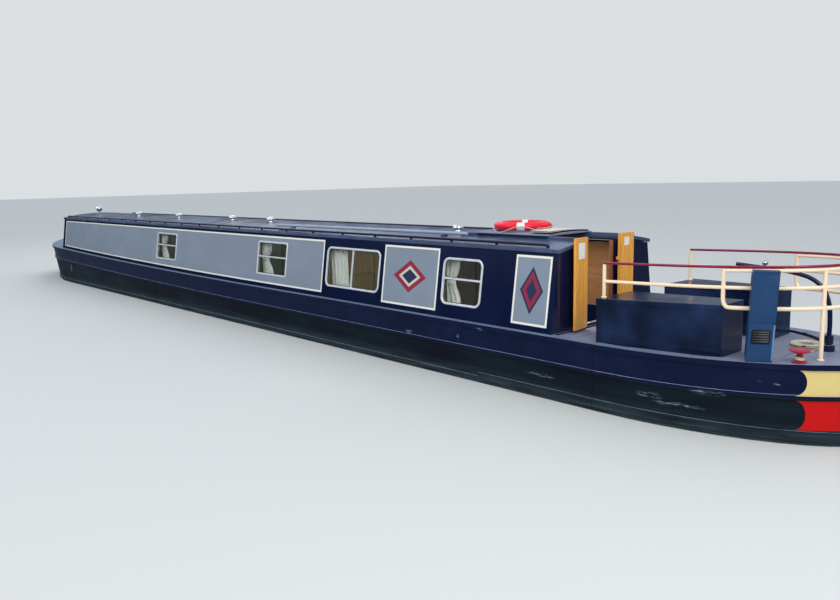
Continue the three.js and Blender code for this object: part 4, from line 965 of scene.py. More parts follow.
# The rope's way from the bollard over the edge of the deck to the coil, whose radii are below
ROPE_LEAD = [
    (-9.767, 0.550, 0.716),
    (-9.757, 0.521, 0.712),
    (-9.740, 0.477, 0.703),
    (-9.718, 0.428, 0.6976),
    (-9.690, 0.376, 0.6966),
    (-9.662, 0.330, 0.697),
    (-9.637, 0.286, 0.696),
    (-9.619, 0.240, 0.680),
    (-9.608, 0.192, 0.6625),
    (-9.607, 0.135, 0.6597),
    (-9.612, 0.060, 0.6596),
    (-9.619, -0.030, 0.6596),
    (-9.623, -0.120, 0.6596),
    (-9.623, -0.204, 0.6596),
]
COIL_OUTER = 0.143
COIL_INNER = 0.0705
BOLLARD_STEM = 0.0320
BOLLARD_TURNS = 2.0
ROPE_STEP = 0.006


class NARROWBOAT_OT_mooring_rope(PieceOperator):
    """Builds the mooring rope: its turns on the bollard, its lead over the deck edge and its flat coil"""

    bl_idname = "narrowboat.mooring_rope"
    bl_label = "Mooring rope"

    def execute(self, context):
        thick = sizes().rope
        pitch = thick + 0.0008
        lead = curved(ROPE_LEAD, 12)
        whole = evenly(self.turns(thick, pitch) + lead[1:] + self.coil(thick, pitch)[1:], ROPE_STEP)
        shape = Shape()
        shape.strands(whole, thick, ROPE_STEP, sizes().lay, 12)
        rope = shape.make("mooring_rope", laid_rope("laid_polyester_rope", "ddd3bc"), smooth=80)
        whipping = Shape()
        whipping.tube(whole[-7:], thick * 0.54)
        bound = whipping.make("rope_whipping", woven("waxed_whipping_twine", linear("5a4a3c")))
        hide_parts("rope_coil", "rope_turns", "rope_lead")
        tuple(whole[0])
        length_of(whole)
        [tuple(p) for p in whole]
        return {"FINISHED"}

    def turns(self, thick, pitch):
        """The turns on the bollard's stem, from the free end down to where the lead leaves it."""
        leave = math.radians(200)
        low = gunwale(BOLLARD.x - 0.060) + 0.0167 + thick / 2
        route = []
        for left in spread(BOLLARD_TURNS, 0.0, 60):
            route.append(off_axis(BOLLARD, leave - 2 * math.pi * left, BOLLARD_STEM, low + pitch * left))
        return route

    def coil(self, thick, pitch):
        """Two layers of a flat coil: the lower one runs inwards and the upper one outwards again."""
        low = COIL.z + CLEARANCE + thick / 2 + 0.0004
        laps = (COIL_OUTER - COIL_INNER) / pitch
        count = int(laps * 40)
        route = []
        for layer, (start, end) in enumerate(((COIL_OUTER, COIL_INNER), (COIL_INNER, COIL_OUTER))):
            for i, radius in enumerate(spread(start, end, count)):
                lap = laps * i / count
                # The rope climbs on the lower layer within half a lap
                rise = layer * min(lap / 0.5, 1.0)
                angle = math.pi + 2 * math.pi * (lap + laps * layer)
                route.append(off_axis(COIL, angle, radius, low + (thick + 0.0005) * rise))
        return route


class NARROWBOAT_OT_hull(PieceOperator):
    """Paints the hull and finishes what is fixed under it and on its ends"""

    bl_idname = "narrowboat.hull"
    bl_label = "Hull"

    def execute(self, context):
        colours = paint()
        settle("hull", hull_enamel("hull_enamel_brushed"), 24)
        settle("skeg", rolled_bitumen("bitumen_rolled"), 30)
        bronze = bare_metal("manganese_bronze_polished", linear("b98a3a"), 0.28, stain=linear("6d6f4c"))
        settle("propeller", bronze, 40)
        settle("rudder_and_tiller", enamel("navy_enamel_on_tiller", colours.navy, 0.2), 40, 0.0015)
        settle("engine", enamel("grey_engine_enamel", linear("7b858a"), 0.4), 30, 0.01)
        settle("bow_stud", enamel("red_enamel_on_stud", colours.mushroom, 0.25), 40, 0.002)
        settle("gas_locker_lid", grit_paint("navy_grit_paint", linear("202a4c"), 0.4, 9.17), 30, 0.003)
        return {"FINISHED"}


class NARROWBOAT_OT_cabin(PieceOperator):
    """Paints the cabin sides with their panels, and the bulkheads"""

    bl_idname = "narrowboat.cabin"
    bl_label = "Cabin"

    def execute(self, context):
        side = cabin_enamel("cabin_enamel_sign_written")
        plain = enamel("navy_coach_enamel", paint().navy, 0.13)
        for name in ("port", "starboard"):
            settle(f"cabin_side_{name}", side)
        for name in ("rear", "front"):
            settle(f"{name}_bulkhead", plain, bevel=0.002)
        return {"FINISHED"}


# Section of a window frame, a flange rolled over at its outer edge: inset from the edge, and distance out
FRAME_SECTION = (
    (0.0000, 0.0004),
    (0.0015, 0.0052),
    (0.0050, 0.0078),
    (0.0110, 0.0080),
    (0.0200, 0.0062),
    (0.0270, 0.0058),
    (0.0280, -0.0120),
    (0.0160, -0.0140),
    (0.0160, 0.0004),
)
BAR_HALF = 0.011
BAR_END = 0.026
# The rubbers begin this far from the frame's edge and from the middle of the bar
RUBBER_AT_EDGE = 0.0278
RUBBER_AT_BAR = 0.0108
PANE_INSET = 0.0165


class NARROWBOAT_OT_windows(PieceOperator):
    """Builds the aluminium window frames with their rubbers, bars and panes"""

    bl_idname = "narrowboat.windows"
    bl_label = "Windows"

    def execute(self, context):
        metal = bare_metal("anodised_aluminium_chalked", linear("e6eaec"), 0.42, 3.3, metallic=0.5)
        rubber = moulded("black_glazing_rubber", "16171a", 0.6, 1.0)
        glass = float_glass("float_glass")
        for name, sign in SIDES:
            for number in range(1, len(WINDOWS) + 1):
                self.glaze(number, name, on_side(sign), metal, rubber, glass)
        return {"FINISHED"}

    def glaze(self, number, name, lift, metal, rubber, glass):
        """One window: its frame with a bar or a mullion, a rubber round each light, and the glass."""
        x0, x1, z0, z1, corner, bar = WINDOWS[number - 1]
        middle = (x0 + x1) / 2

        def ring(inset):
            radius = max(corner - inset, 0.010)
            return rounded_rectangle(x0 + inset, x1 - inset, z0 + inset, z1 - inset, radius)

        a0, a1 = x0 + RUBBER_AT_EDGE, x1 - RUBBER_AT_EDGE
        b0, b1 = z0 + RUBBER_AT_EDGE, z1 - RUBBER_AT_EDGE
        if bar:
            lights = [(a0, a1, b0, bar - RUBBER_AT_BAR), (a0, a1, bar + RUBBER_AT_BAR, b1)]
            crossing = rectangle(x0 + BAR_END, x1 - BAR_END, bar - BAR_HALF, bar + BAR_HALF)
        else:
            lights = [(a0, middle - RUBBER_AT_BAR, b0, b1), (middle + RUBBER_AT_BAR, a1, b0, b1)]
            crossing = rectangle(middle - BAR_HALF, middle + BAR_HALF, z0 + BAR_END, z1 - BAR_END)
        unit = Shape()
        unit.rings([[lift(u, v, out) for u, v in ring(inset)] for inset, out in FRAME_SECTION], closed=True)
        unit.slab(crossing, lift, -0.0130, 0.0048)
        made = unit.make(f"window_frame_{number}_{name}", metal, smooth=50)
        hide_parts(f"window_{number}_{name}")
        seal = Shape()
        wide = sizes().gasket
        radius = max(corner - RUBBER_AT_EDGE, 0.012)
        for c0, c1, d0, d1 in lights:
            outline = rounded_rectangle(c0, c1, d0, d1, radius, 4)
            inner = max(radius - wide, 0.004)
            opening = rounded_rectangle(c0 + wide, c1 - wide, d0 + wide, d1 - wide, inner, 4)
            seal.slab(outline, lift, -0.0138, -0.0108, hole=opening)
        seal.make(f"window_rubber_{number}_{name}", rubber)
        pane = Shape()
        pane.slab(ring(PANE_INSET), lift, -0.0198, -0.0141)
        pane.make(f"window_pane_{number}_{name}", glass)


# The curtains' rail stands off the lining. A curtain is tied this far down, 1 being its hem.
CURTAIN_RAIL_Z = 1.402
CURTAIN_RAIL_Y = side_y(CURTAIN_RAIL_Z) - WALL - 0.032
CURTAIN_RAIL_X = (-6.480, 2.290)
TIED_AT = 0.58


class NARROWBOAT_OT_curtains(PieceOperator):
    """Hangs a gathered cotton curtain at the fore side of each window, on a long rail"""

    bl_idname = "narrowboat.curtains"
    bl_label = "Curtains"

    def execute(self, context):
        cotton = woven("cream_cotton_plain_weave", linear("fbf8f0"), sheen=0.15)
        brass = bare_metal("brass_plated_rail", linear("c9a860"), 0.35)
        for name, sign in SIDES:
            rail = Shape()
            rail.tube([(x, sign * CURTAIN_RAIL_Y, CURTAIN_RAIL_Z) for x in CURTAIN_RAIL_X], 0.0075, 12)
            near, far = sorted((sign * CURTAIN_RAIL_Y, sign * (CURTAIN_RAIL_Y + 0.031)))
            low, high = CURTAIN_RAIL_Z - 0.005, CURTAIN_RAIL_Z + 0.005
            for x0, x1, *_ in WINDOWS:
                for x in (x0 - 0.040, x1 + 0.070):
                    rail.block((x - 0.011, near, low), (x + 0.011, far, high))
            made = rail.make(f"curtain_rail_{name}", brass, bevel=0.001)
            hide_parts(f"curtains_{name}")
            for number in range(1, len(WINDOWS) + 1):
                self.hang(number, name, sign, cotton)
        return {"FINISHED"}

    def hang(self, number, name, sign, cotton):
        """One curtain, tied back at its waist unless it hangs in the wide window."""
        x0, x1, z0, _, _, bar = WINDOWS[number - 1]
        start, end = x1 - (x1 - x0) * 0.30, x1 + 0.036
        low, high = z0 - 0.018, CURTAIN_RAIL_Z + 0.004
        tied = 1.0 if bar else 0.0
        pleat = sizes().pleat
        rows = []
        for down in spread(0.0, 1.0, 22):
            waist = tied * math.exp(-(((down - TIED_AT) / 0.2) ** 2))
            deep = (0.006 + 0.008 * min(down * 3, 1)) * (1 + 0.75 * waist)
            row = []
            for full in spread(start, end, int((end - start) / pleat * 16)):
                phase = full / pleat * 2 * math.pi
                wave = math.sin(phase + 0.5 * math.sin(full * 9 + number) + 0.35 * down)
                out = deep * wave + 0.0012 * math.sin(phase * 0.37 + number) - 0.009 * waist
                x = end - (end - full) * (1 - 0.45 * waist)
                row.append(Vector((x, sign * (CURTAIN_RAIL_Y + out), high + (low - high) * down)))
            rows.append(row)
        flat = sum(length_of(row) for row in rows) / len(rows)
        piece = cloth(f"curtain_{number}_{name}", cotton, rows, 0.0012)
        if tied:
            half = (end - start) * 0.55 / 2 + 0.003
            centre = Vector((end - half + 0.003, sign * (CURTAIN_RAIL_Y - 0.009), 0.0))
            middle = high + (low - high) * TIED_AT
            band = Shape()
            rings = []
            # A flat band with rounded edges: how far above its middle, and how much wider
            for up, grow in ((-0.017, 0.0), (-0.014, 0.0015), (0.014, 0.0015), (0.017, 0.0)):
                long, deep = half + grow, 0.0255 + grow
                around = [(long * math.cos(a), deep * math.sin(a), middle + up) for a in angles(28)]
                rings.append([centre + Vector(p) for p in around])
            band.rings(rings)
            tie = band.make(f"curtain_tie_{number}_{name}", cotton, smooth=60)


# The vents stand in a row, and the pole's chocks across it
VENTS_X = (-5.400, -0.940, 0.360, 2.560, 4.560)
VENTS_Y = 0.230
CHOCKS_X = (-5.500, -2.300)
# A mushroom vent from its foot to the top of its cap: radius, height
VENT_PROFILE = (
    (0, -0.004),
    (0.058, -0.004),
    (0.058, 0.003),
    (0.046, 0.005),
    (0.043, 0.012),
    (0.043, 0.040),
    (0.060, 0.0405),
    (0.0745, 0.044),
    (0.0755, 0.048),
    (0.0745, 0.052),
    (0.071, 0.062),
    (0.062, 0.073),
    (0.046, 0.082),
    (0.024, 0.0875),
    (0, 0.0890),
)


class NARROWBOAT_OT_roof(PieceOperator):
    """Builds the cambered roof with its hatch runners, mushroom vents and pole chocks"""

    bl_idname = "narrowboat.roof"
    bl_label = "Roof"

    def execute(self, context):
        # The roof's pale colour is partly fading of the enamel and partly a painted reflection of the sky
        roof_paint = enamel("roof_enamel_fading_and_painted_sky", paint().roof, 0.2, 0.5)
        skin = Shape()
        xs = [X_AFT - ROOF_OVERHANG, X_AFT, *spread(HATCHWAY_X, X_FWD + ROOF_OVERHANG, 24)]
        ys = {round(y, 4) for y in spread(-ROOF_EDGE_Y, ROOF_EDGE_Y, 36)}
        ys = sorted(ys | {*HATCHWAY_Y, *NOTCH_Y})

        def keep(x, y):
            hatchway = x < HATCHWAY_X and HATCHWAY_Y[0] < y < HATCHWAY_Y[1]
            notch = x < X_AFT and NOTCH_Y[0] < y < NOTCH_Y[1]
            return not (hatchway or notch)

        def under(x, y):
            return (x, y, max(roof_z(y) - ROOF_THICK, CABIN_TOP_Z) + 0.0012)

        skin.plate(xs, ys, lambda x, y: (x, y, roof_z(y) - 0.0009), under, keep)
        roof = skin.make("roof_skin", roof_paint, bevel=0.004, smooth=30)
        rails = Shape()
        top = roof_z(HATCH_MID - RUNNER_INNER) + RUNNER_HIGH - 0.0002
        foot = roof_z(HATCH_MID + RUNNER_INNER + RUNNER_WIDTH) - 0.010
        for y in (HATCH_MID + RUNNER_INNER, HATCH_MID - RUNNER_INNER - RUNNER_WIDTH):
            rails.block((X_AFT - 0.0098, y, foot), (RUNNER_FORE_X, y + RUNNER_WIDTH, top))
        for x in CHOCKS_X:
            y = POLE_AFT.lerp(POLE_FORE, (x - POLE_AFT.x) / (POLE_FORE.x - POLE_AFT.x)).y
            low = (x - 0.020, y - 0.045, roof_z(y + 0.045) - 0.006)
            rails.block(low, (x + 0.020, y + 0.045, POLE_AFT.z - 0.0226))
        rails.make("roof_runners", roof_paint, bevel=0.003)
        vents = Shape()
        for x in VENTS_X:
            vents.turned(VENT_PROFILE, (x, VENTS_Y, roof_z(VENTS_Y)), sides=28)
        chrome = bare_metal("chromed_brass_polished", linear("dfe2e4"), 0.18)
        vents.make("roof_vents", chrome, smooth=40)
        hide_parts("roof")
        return {"FINISHED"}


# Underside of the hatch's top, on the runners
HATCH_BASE_Z = roof_z(HATCH_MID - RUNNER_INNER) + RUNNER_HIGH + CLEARANCE


def hatch_crown(y):
    """Height of the hatch's cambered top."""
    return HATCH_BASE_Z + 0.012 + 0.020 * (1 - ((y - HATCH_MID) / HATCH_HALF) ** 2)


def above_crown(height):
    """Places a point of a plate this far above the hatch's top."""
    return lambda x, y: (x, y, hatch_crown(y) + height)


class NARROWBOAT_OT_hatch(PieceOperator):
    """Builds the sliding hatch, open on its runners"""

    bl_idname = "narrowboat.hatch"
    bl_label = "Sliding hatch"

    def execute(self, context):
        low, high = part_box("sliding_hatch")
        shape = Shape()
        xs = spread(low.x, high.x, 6)
        ys = spread(HATCH_MID - HATCH_HALF, HATCH_MID + HATCH_HALF, 24)
        shape.plate(xs, ys, above_crown(-0.0006), lambda x, y: (x, y, HATCH_BASE_Z))
        grit = grit_paint("hatch_grit_paint", paint().deck, 1.2, -7.05)
        lid = shape.make("hatch_top", grit, "hatch", bevel=0.003)
        trim = Shape()
        for side in (1, -1):
            edges = (HATCH_MID + side * (HATCH_HALF - 0.0138), HATCH_MID + side * (HATCH_HALF - 0.0002))
            y0, y1 = sorted(edges)
            trim.block((low.x + 0.0005, y0, low.z), (high.x - 0.0005, y1, HATCH_BASE_Z + 0.010))
        lip = spread(HATCH_MID - 0.350, HATCH_MID + 0.350, 16)
        trim.plate([low.x, low.x + 0.014], lip, above_crown(0.0138), above_crown(-0.004))
        trim.make("hatch_skirts", enamel("navy_enamel_on_hatch", paint().navy, 0.18), "hatch", bevel=0.002)
        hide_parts("sliding_hatch")
        return {"FINISHED"}


# The lifebuoy: radius of the ring's middle line, half its width, and where the bands are, in degrees
BUOY_RING = 0.285
BUOY_HALF = 0.057
BUOY_BANDS = (35, 125, 215, 305)
LINE_THICK = 0.008
LINE_LAY = 0.028
LINE_STEP = 0.005


class NARROWBOAT_OT_lifebuoy(PieceOperator):
    """Builds the lifebuoy with its white bands and grab line"""

    bl_idname = "narrowboat.lifebuoy"
    bl_label = "Lifebuoy"

    def execute(self, context):
        low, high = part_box("lifebuoy")
        centre = (low + high) / 2
        deep = (high.z - low.z) / 2 - 0.002

        def section(angle, grow):
            ring = []
            for a in angles(24):
                out = BUOY_RING + math.cos(a) * (BUOY_HALF + grow)
                ring.append(off_axis(centre, angle, out, centre.z + math.sin(a) * (deep + grow)))
            return ring

        body = Shape()
        body.rings([section(a, -0.001) for a in angles(96)], closed=True)
        red = moulded("moulded_red_polyethylene", "f20a2c", 0.36)
        buoy = body.make("lifebuoy_ring", red, "hatch", smooth=60)
        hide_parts("lifebuoy")
        tape = Shape()
        for band in BUOY_BANDS:
            # The tape stands proud of the ring in the middle, and both its ends dip into it
            ends, proud = -0.0006, 0.0006
            grows = {-8: ends, -7: ends, -3.5: proud, 0: proud, 3.5: proud, 7: ends, 8: ends}
            rings = [section(math.radians(band + a), grow) for a, grow in grows.items()]
            tape.rings(rings, capped=False)
        white = moulded("white_reflective_tape", "eceae4", 0.35)
        tape.make("lifebuoy_bands", white, "hatch", smooth=60)
        self.grab_line(centre)
        return {"FINISHED"}

    def grab_line(self, centre):
        """The line that hangs in a loop from band to band and lies on the hatch or the cloth."""
        low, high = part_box("folded_cloth")
        held = centre.z + 0.003
        route = []
        for band, i in itertools.product(BUOY_BANDS, range(28)):
            part = i / 28
            loop = math.sin(math.pi * part) ** 2
            angle = math.radians(band + 90 * part)
            place = off_axis(centre, angle, BUOY_RING + BUOY_HALF + 0.0052 + 0.026 * loop, held)
            on_cloth = place.x < high.x + 0.006 and low.y < place.y < high.y
            rest = (high.z if on_cloth else hatch_crown(place.y)) + LINE_THICK / 2 + 0.001
            place.z = max(held + (rest - held) * loop, rest)
            route.append(place)
        route.append(route[0] + Vector((0.0, 0.0, LINE_THICK + 0.001)))
        route = evenly(route, LINE_STEP)
        shape = Shape()
        shape.strands(route, LINE_THICK, LINE_STEP, LINE_LAY, 9)
        rope = laid_rope("laid_polypropylene_line", "e6dfd2")
        line = shape.make("lifebuoy_line", rope, "hatch", smooth=80)
        tuple(route[0])
        length_of(route)
        [tuple(p) for p in route]


class NARROWBOAT_OT_folded_cloth(PieceOperator):
    """Folds the canvas cover that lies on the hatch"""

    bl_idname = "narrowboat.folded_cloth"
    bl_label = "Folded cloth"

    def execute(self, context):
        low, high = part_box("folded_cloth")
        start, end = low.x + 0.012, -6.735
        near, far = low.y + 0.012, high.y - 0.012
        layers, gap = 5, 0.0045
        # The folds in section: each layer lies on the last, and the cloth turns back at its end
        line = []
        for layer in range(layers):
            way = -1 if layer % 2 else 1
            a, b = (start, end)[::way]
            level = 0.0012 + gap * layer
            line += [(x, level) for x in spread(a, b, 12)]
            if layer + 1 < layers:
                for turn in spread(0.0, math.pi, 6)[1:-1]:
                    out = way * gap * 1.1 * math.sin(turn)
                    line.append((b + out, level + gap / 2 * (1 - math.cos(turn))))
        rows = []
        for t in spread(0.0, 1.0, 20):
            row = []
            for x, z in line:
                lean = 0.030 * (1 - t) * (x - start) / (end - start)
                curl = 0.006 * math.sin(5 * t + z * 400)
                wave = 0.0016 * math.sin(9 * t + x * 14) + 0.0012 * math.sin(23 * t + x * 31)
                up = low.z + 0.0016 + z + max(wave, -0.001) * (z / 0.02)
                row.append(Vector((x + lean + curl, near + (far - near) * t, up)))
            rows.append(row)
        flat = (length_of(rows[len(rows) // 2]), far - near)
        canvas = woven("cream_canvas", linear("ded6c4"), 0.003, 0.1)
        piece = cloth("folded_cover", canvas, rows, 0.0016, "hatch")
        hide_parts("folded_cloth")
        return {"FINISHED"}


class NARROWBOAT_OT_handrails(PieceOperator):
    """Builds the roof handrails and the pole inside the port one"""

    bl_idname = "narrowboat.handrails"
    bl_label = "Handrails and pole"

    def execute(self, context):
        coat = enamel("navy_enamel_on_handrails", paint().navy, 0.15)
        start, end, y, z = -7.290, 7.460, 0.795, 1.568
        # A foot near each end, and one every 0.71 m between
        feet = [start + 0.020, end - 0.020, *(-6.560 + 0.710 * i for i in range(20))]
        low, high = roof_z(y - 0.009) - 0.004, z - 0.004
        for name, sign in SIDES:
            mid = sign * y
            shape = Shape()
            shape.tube([(x, mid, z) for x in (start, start + 0.3, end - 0.3, end)], 0.0168, 20, 0.016)
            for x in feet:
                shape.block((x - 0.015, mid - 0.008, low), (x + 0.015, mid + 0.008, high))
            made = shape.make(f"handrail_bar_{name}", coat, smooth=40)
            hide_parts(f"handrail_{name}")
        pole = Shape()
        along = spread(0.0, 1.0, 24)
        route = [POLE_AFT.lerp(POLE_FORE, part) for part in along]
        pole.tube(route, [0.0215 - 0.004 * part**2 for part in along], 20, 0.012)
        ash = enamel("painted_ash_pole", linear("93a4b8"), 0.35, 0.1)
        made = pole.make("boat_pole_shaft", ash, smooth=40)
        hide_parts("boat_pole")
        return {"FINISHED"}


# The port rear door stands folded back on its hinge, turned out a little
PORT_HINGE = Vector((X_AFT - 0.036, DOORWAY[1] + 0.016))
PORT_LEAF_TURN = math.radians(10)


class NARROWBOAT_OT_doors(PieceOperator):
    """Finishes the doors and adds their blank notice cards, the jambs and the sill"""

    bl_idname = "narrowboat.doors"
    bl_label = "Doors"

    def execute(self, context):
        oak = varnished_boards("oak_boards_varnished", paint().oak)
        navy = enamel("navy_enamel_on_doors", paint().navy, 0.2)
        for name in ("port", "starboard"):
            settle(f"rear_door_{name}", oak, bevel=0.002)
            settle(f"front_door_{name}", navy, bevel=0.002)
        card = moulded("white_laminated_card", "f2f1ec", 0.25, 6.7)
        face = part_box("rear_door_starboard")[0].x
        cards = Shape()
        sheet = rounded_rectangle(-0.345, -0.250, 1.500, 1.590, 0.006, 3)
        cards.slab(sheet, lambda u, v, d: (face - d, u, v), -0.0005, 0.0009)
        cards.make("notice_card_starboard", card, "rear_door_starboard")

        def on_leaf(u, v, d):
            across = -0.030 - d
            x = PORT_HINGE.x + across * math.cos(PORT_LEAF_TURN) - u * math.sin(PORT_LEAF_TURN)
            y = PORT_HINGE.y + across * math.sin(PORT_LEAF_TURN) + u * math.cos(PORT_LEAF_TURN)
            return (x, y, v)

        cards = Shape()
        sheet = rounded_rectangle(0.085, 0.225, 1.420, 1.585, 0.006, 3)
        cards.slab(sheet, on_leaf, -0.0005, 0.0009)
        cards.make("notice_card_port", card, "rear_door_port")
        jamb = Shape()
        y0, y1 = DOORWAY
        for low, high in ((y0 + 0.0005, y0 + 0.020), (y1 - 0.020, y1 - 0.0005)):
            jamb.block((X_AFT + 0.0010, low, 0.695), (X_AFT + 0.044, high, 1.560))
        dark = varnished_boards("dark_oak_jamb", linear("8a5230"), "Y", 0.35)
        jamb.make("door_jambs", dark, bevel=0.002)
        sill = Shape()
        sill.block((X_AFT + 0.0005, y0 + 0.021, 0.6912), (X_AFT + 0.0445, y1 - 0.021, 0.6945))
        plate = bare_metal("aluminium_sill_plate", linear("d8d2bc"), 0.4)
        sill.make("door_sill", plate, bevel=0.001)
        return {"FINISHED"}


# Partitions across the cabin: x, and their boards by name. They block the view through to the far windows,
# and their boards' dark, tan and grey colours are painted shade, the dim cabin seen through the windows.
PARTITIONS = ((-5.250, "dark"), (-3.100, "tan_shade"), (-1.300, "grey"), (2.480, "grey"))


class NARROWBOAT_OT_lining(PieceOperator):
    """Lines the cabin with oak-faced ply and stains the steps"""

    bl_idname = "narrowboat.lining"
    bl_label = "Cabin lining"

    def execute(self, context):
        ply = varnished_boards("oak_faced_ply_varnished", linear("a8764c"), "X", 0.35, 0.6)
        xs = {-7.39, 7.60}
        zs = {0.10, 1.480}
        for x0, x1, z0, z1, *_ in WINDOWS:
            xs |= {x0 + 0.006, x1 - 0.006}
            zs |= {z0 + 0.006, z1 - 0.006}

        def keep(x, z):
            return not any(x0 < x < x1 and z0 < z < z1 for x0, x1, z0, z1, *_ in WINDOWS)

        for name, sign in SIDES:
            lift = on_side(sign)
            wall = Shape()
            wall.plate(
                sorted(xs),
                sorted(zs),
                lambda x, z: lift(x, z, -WALL - 0.0105),
                lambda x, z: lift(x, z, -WALL - 0.0015),
                keep,
            )
            wall.make(f"lining_{name}", ply)
        ceiling = Shape()
        ceiling.plate(
            [-6.55, 7.60],
            spread(-0.77, 0.77, 16),
            lambda x, y: (x, y, roof_z(y) - ROOF_THICK - 0.002),
            lambda x, y: (x, y, roof_z(y) - ROOF_THICK - 0.008),
        )
        ceiling.make("lining_overhead", ply)
        # The partitions' boards are coloured as painted shade, the dimness of the cabin behind the windows
        boards = {
            "dark": varnished_boards("dark_oak_partition_painted_shade", linear("645f58"), "Y", 0.4, 0.12),
            "tan_shade": varnished_boards("tan_oak_partition_painted_shade", linear("968865"), "Y", 0.4, 0.12),
            "grey": varnished_boards("grey_oak_partition_painted_shade", linear("6d766e"), "Y", 0.4, 0.12),
        }
        for number, (x, wood) in enumerate(PARTITIONS, 1):
            self.partition(number, x, boards[wood])
        stained = varnished_boards("stained_step_boards", linear("4a3020"), "Y", 0.5)
        settle("cabin_steps", stained, bevel=0.003)
        return {"FINISHED"}

    def partition(self, number, x, boards):
        """A boarded partition across the cabin, with a door in it and battens."""
        shape = Shape()
        side = [(side_y(z) - WALL - 0.014, z) for z in (0.300, 0.665, 1.450)]
        under_roof = [(y, roof_z(y) - ROOF_THICK - 0.010) for y in spread(0.76, -0.76, 12)]
        outline = side + under_roof + [(-y, z) for y, z in side[::-1]]
        shape.slab(outline, lambda u, v, d: (x + d, u, v), 0.0, 0.018)
        door = rounded_rectangle(-0.300, 0.270, 0.310, 1.500, 0.004, 2)
        opening = rounded_rectangle(-0.240, 0.210, 0.372, 1.438, 0.004, 2)
        shape.slab(door, lambda u, v, d: (x - d, u, v), -0.001, 0.012, hole=opening)
        for z in (0.860, 1.180):
            shape.block((x - 0.012, -0.240, z), (x + 0.001, 0.210, z + 0.060))
        for y0, y1 in ((-0.800, -0.345), (0.315, 0.800)):
            shape.block((x - 0.014, y0, 1.395), (x + 0.001, y1, 1.430))
        shape.make(f"cabin_partition_{number}", boards, bevel=0.002)


class NARROWBOAT_OT_deck(PieceOperator):
    """Finishes the stern deck, its hatch, the lockers and the control pedestal"""

    bl_idname = "narrowboat.deck"
    bl_label = "Stern deck"

    def execute(self, context):
        grit = grit_paint("deck_grit_paint", paint().deck)
        settle("stern_deck", grit, bevel=0.002)
        settle("engine_hatch", grit, bevel=0.003)
        # The lockers' pale patches, 3.6 times as light as their navy, are painted reflections of the sky
        locker = enamel("navy_locker_enamel_painted_reflections", linear("0a172f"), 0.2, 2.6)
        for name in ("port", "starboard"):
            settle(f"locker_{name}", locker, bevel=0.003)
            settle(f"locker_lid_{name}", locker, bevel=0.003)
        blue = enamel("blue_pedestal_enamel", paint().pedestal, 0.3, 0.3)
        settle("control_pedestal", blue, bevel=0.003)
        panels = Shape()
        for z0, z1 in ((0.012, 0.327), (0.333, 0.740)):
            outline = rounded_rectangle(-0.097, 0.097, z0, z1, 0.004, 3)
            panels.slab(outline, on_pedestal, 0.0002, 0.0022)
        panels.make("pedestal_panels", blue, bevel=0.0006)
        # A flange at the pedestal's fore edge, whose pale blue is partly wear on the edge and partly a
        # painted highlight of the sky
        flange = Shape()
        outline = rounded_rectangle(-0.1015, -0.0895, 0.020, 0.322, 0.002, 2)
        flange.slab(outline, on_pedestal, 0.0024, 0.0070)
        pale = enamel("blue_flange_enamel_painted_highlight", linear("5f82a8"), 0.3, 0.3)
        flange.make("pedestal_flange", pale, bevel=0.0008)
        louvre = Shape()
        rim = rounded_rectangle(-0.070, 0.076, 0.158, 0.278, 0.006, 3)
        opening = rounded_rectangle(-0.062, 0.068, 0.166, 0.270, 0.003, 3)
        louvre.slab(rim, on_pedestal, 0.0024, 0.0056, hole=opening)
        louvre.slab(opening, on_pedestal, 0.0024, 0.0030)
        blade = ((0.0150, 0.0032), (0.0160, 0.0044), (0.0040, 0.0084), (0.0022, 0.0076))
        for i in range(5):
            z = 0.1675 + 0.0205 * i
            louvre.rings([[on_pedestal(u, z + v, d) for v, d in blade] for u in (-0.0615, 0.0675)])
        black = moulded("black_moulded_nylon", "14161a", 0.35, 1.5)
        louvre.make("pedestal_louvre", black, bevel=0.0003)
        settle("control_lever", bare_metal("stainless_lever_polished", linear("c9ccd0"), 0.2), 40)
        rings = Shape()
        profile = [(0, 0), (0.034, 0), (0.034, 0.0035), (0.026, 0.0042), (0, 0.0042)]
        for y in (-0.20, 0.20):
            rings.turned(profile, (-8.69, y, DECK_Z + 0.0138), sides=24)
        brass = bare_metal("brass_worn", linear("b58f46"), 0.35)
        rings.make("hatch_lift_rings", brass, "engine_hatch")
        return {"FINISHED"}


def on_pedestal(u, z, out):
    """A point of the pedestal's outboard face: u towards the bow, z from its foot, and a distance out."""
    foot = gunwale(PEDESTAL_X) + 0.001
    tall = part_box("control_pedestal")[1].z - foot
    out += PEDESTAL_FACE
    x = u * math.cos(PEDESTAL_TURN) - out * math.sin(PEDESTAL_TURN) - PEDESTAL_LEAN * z / tall
    y = u * math.sin(PEDESTAL_TURN) + out * math.cos(PEDESTAL_TURN)
    return (PEDESTAL_X + x, PEDESTAL_Y + y, foot + z)


RAIL_RADIUS = 0.0158
POST_RADIUS = 0.0178
TOP_RAIL_RADIUS = 0.0122


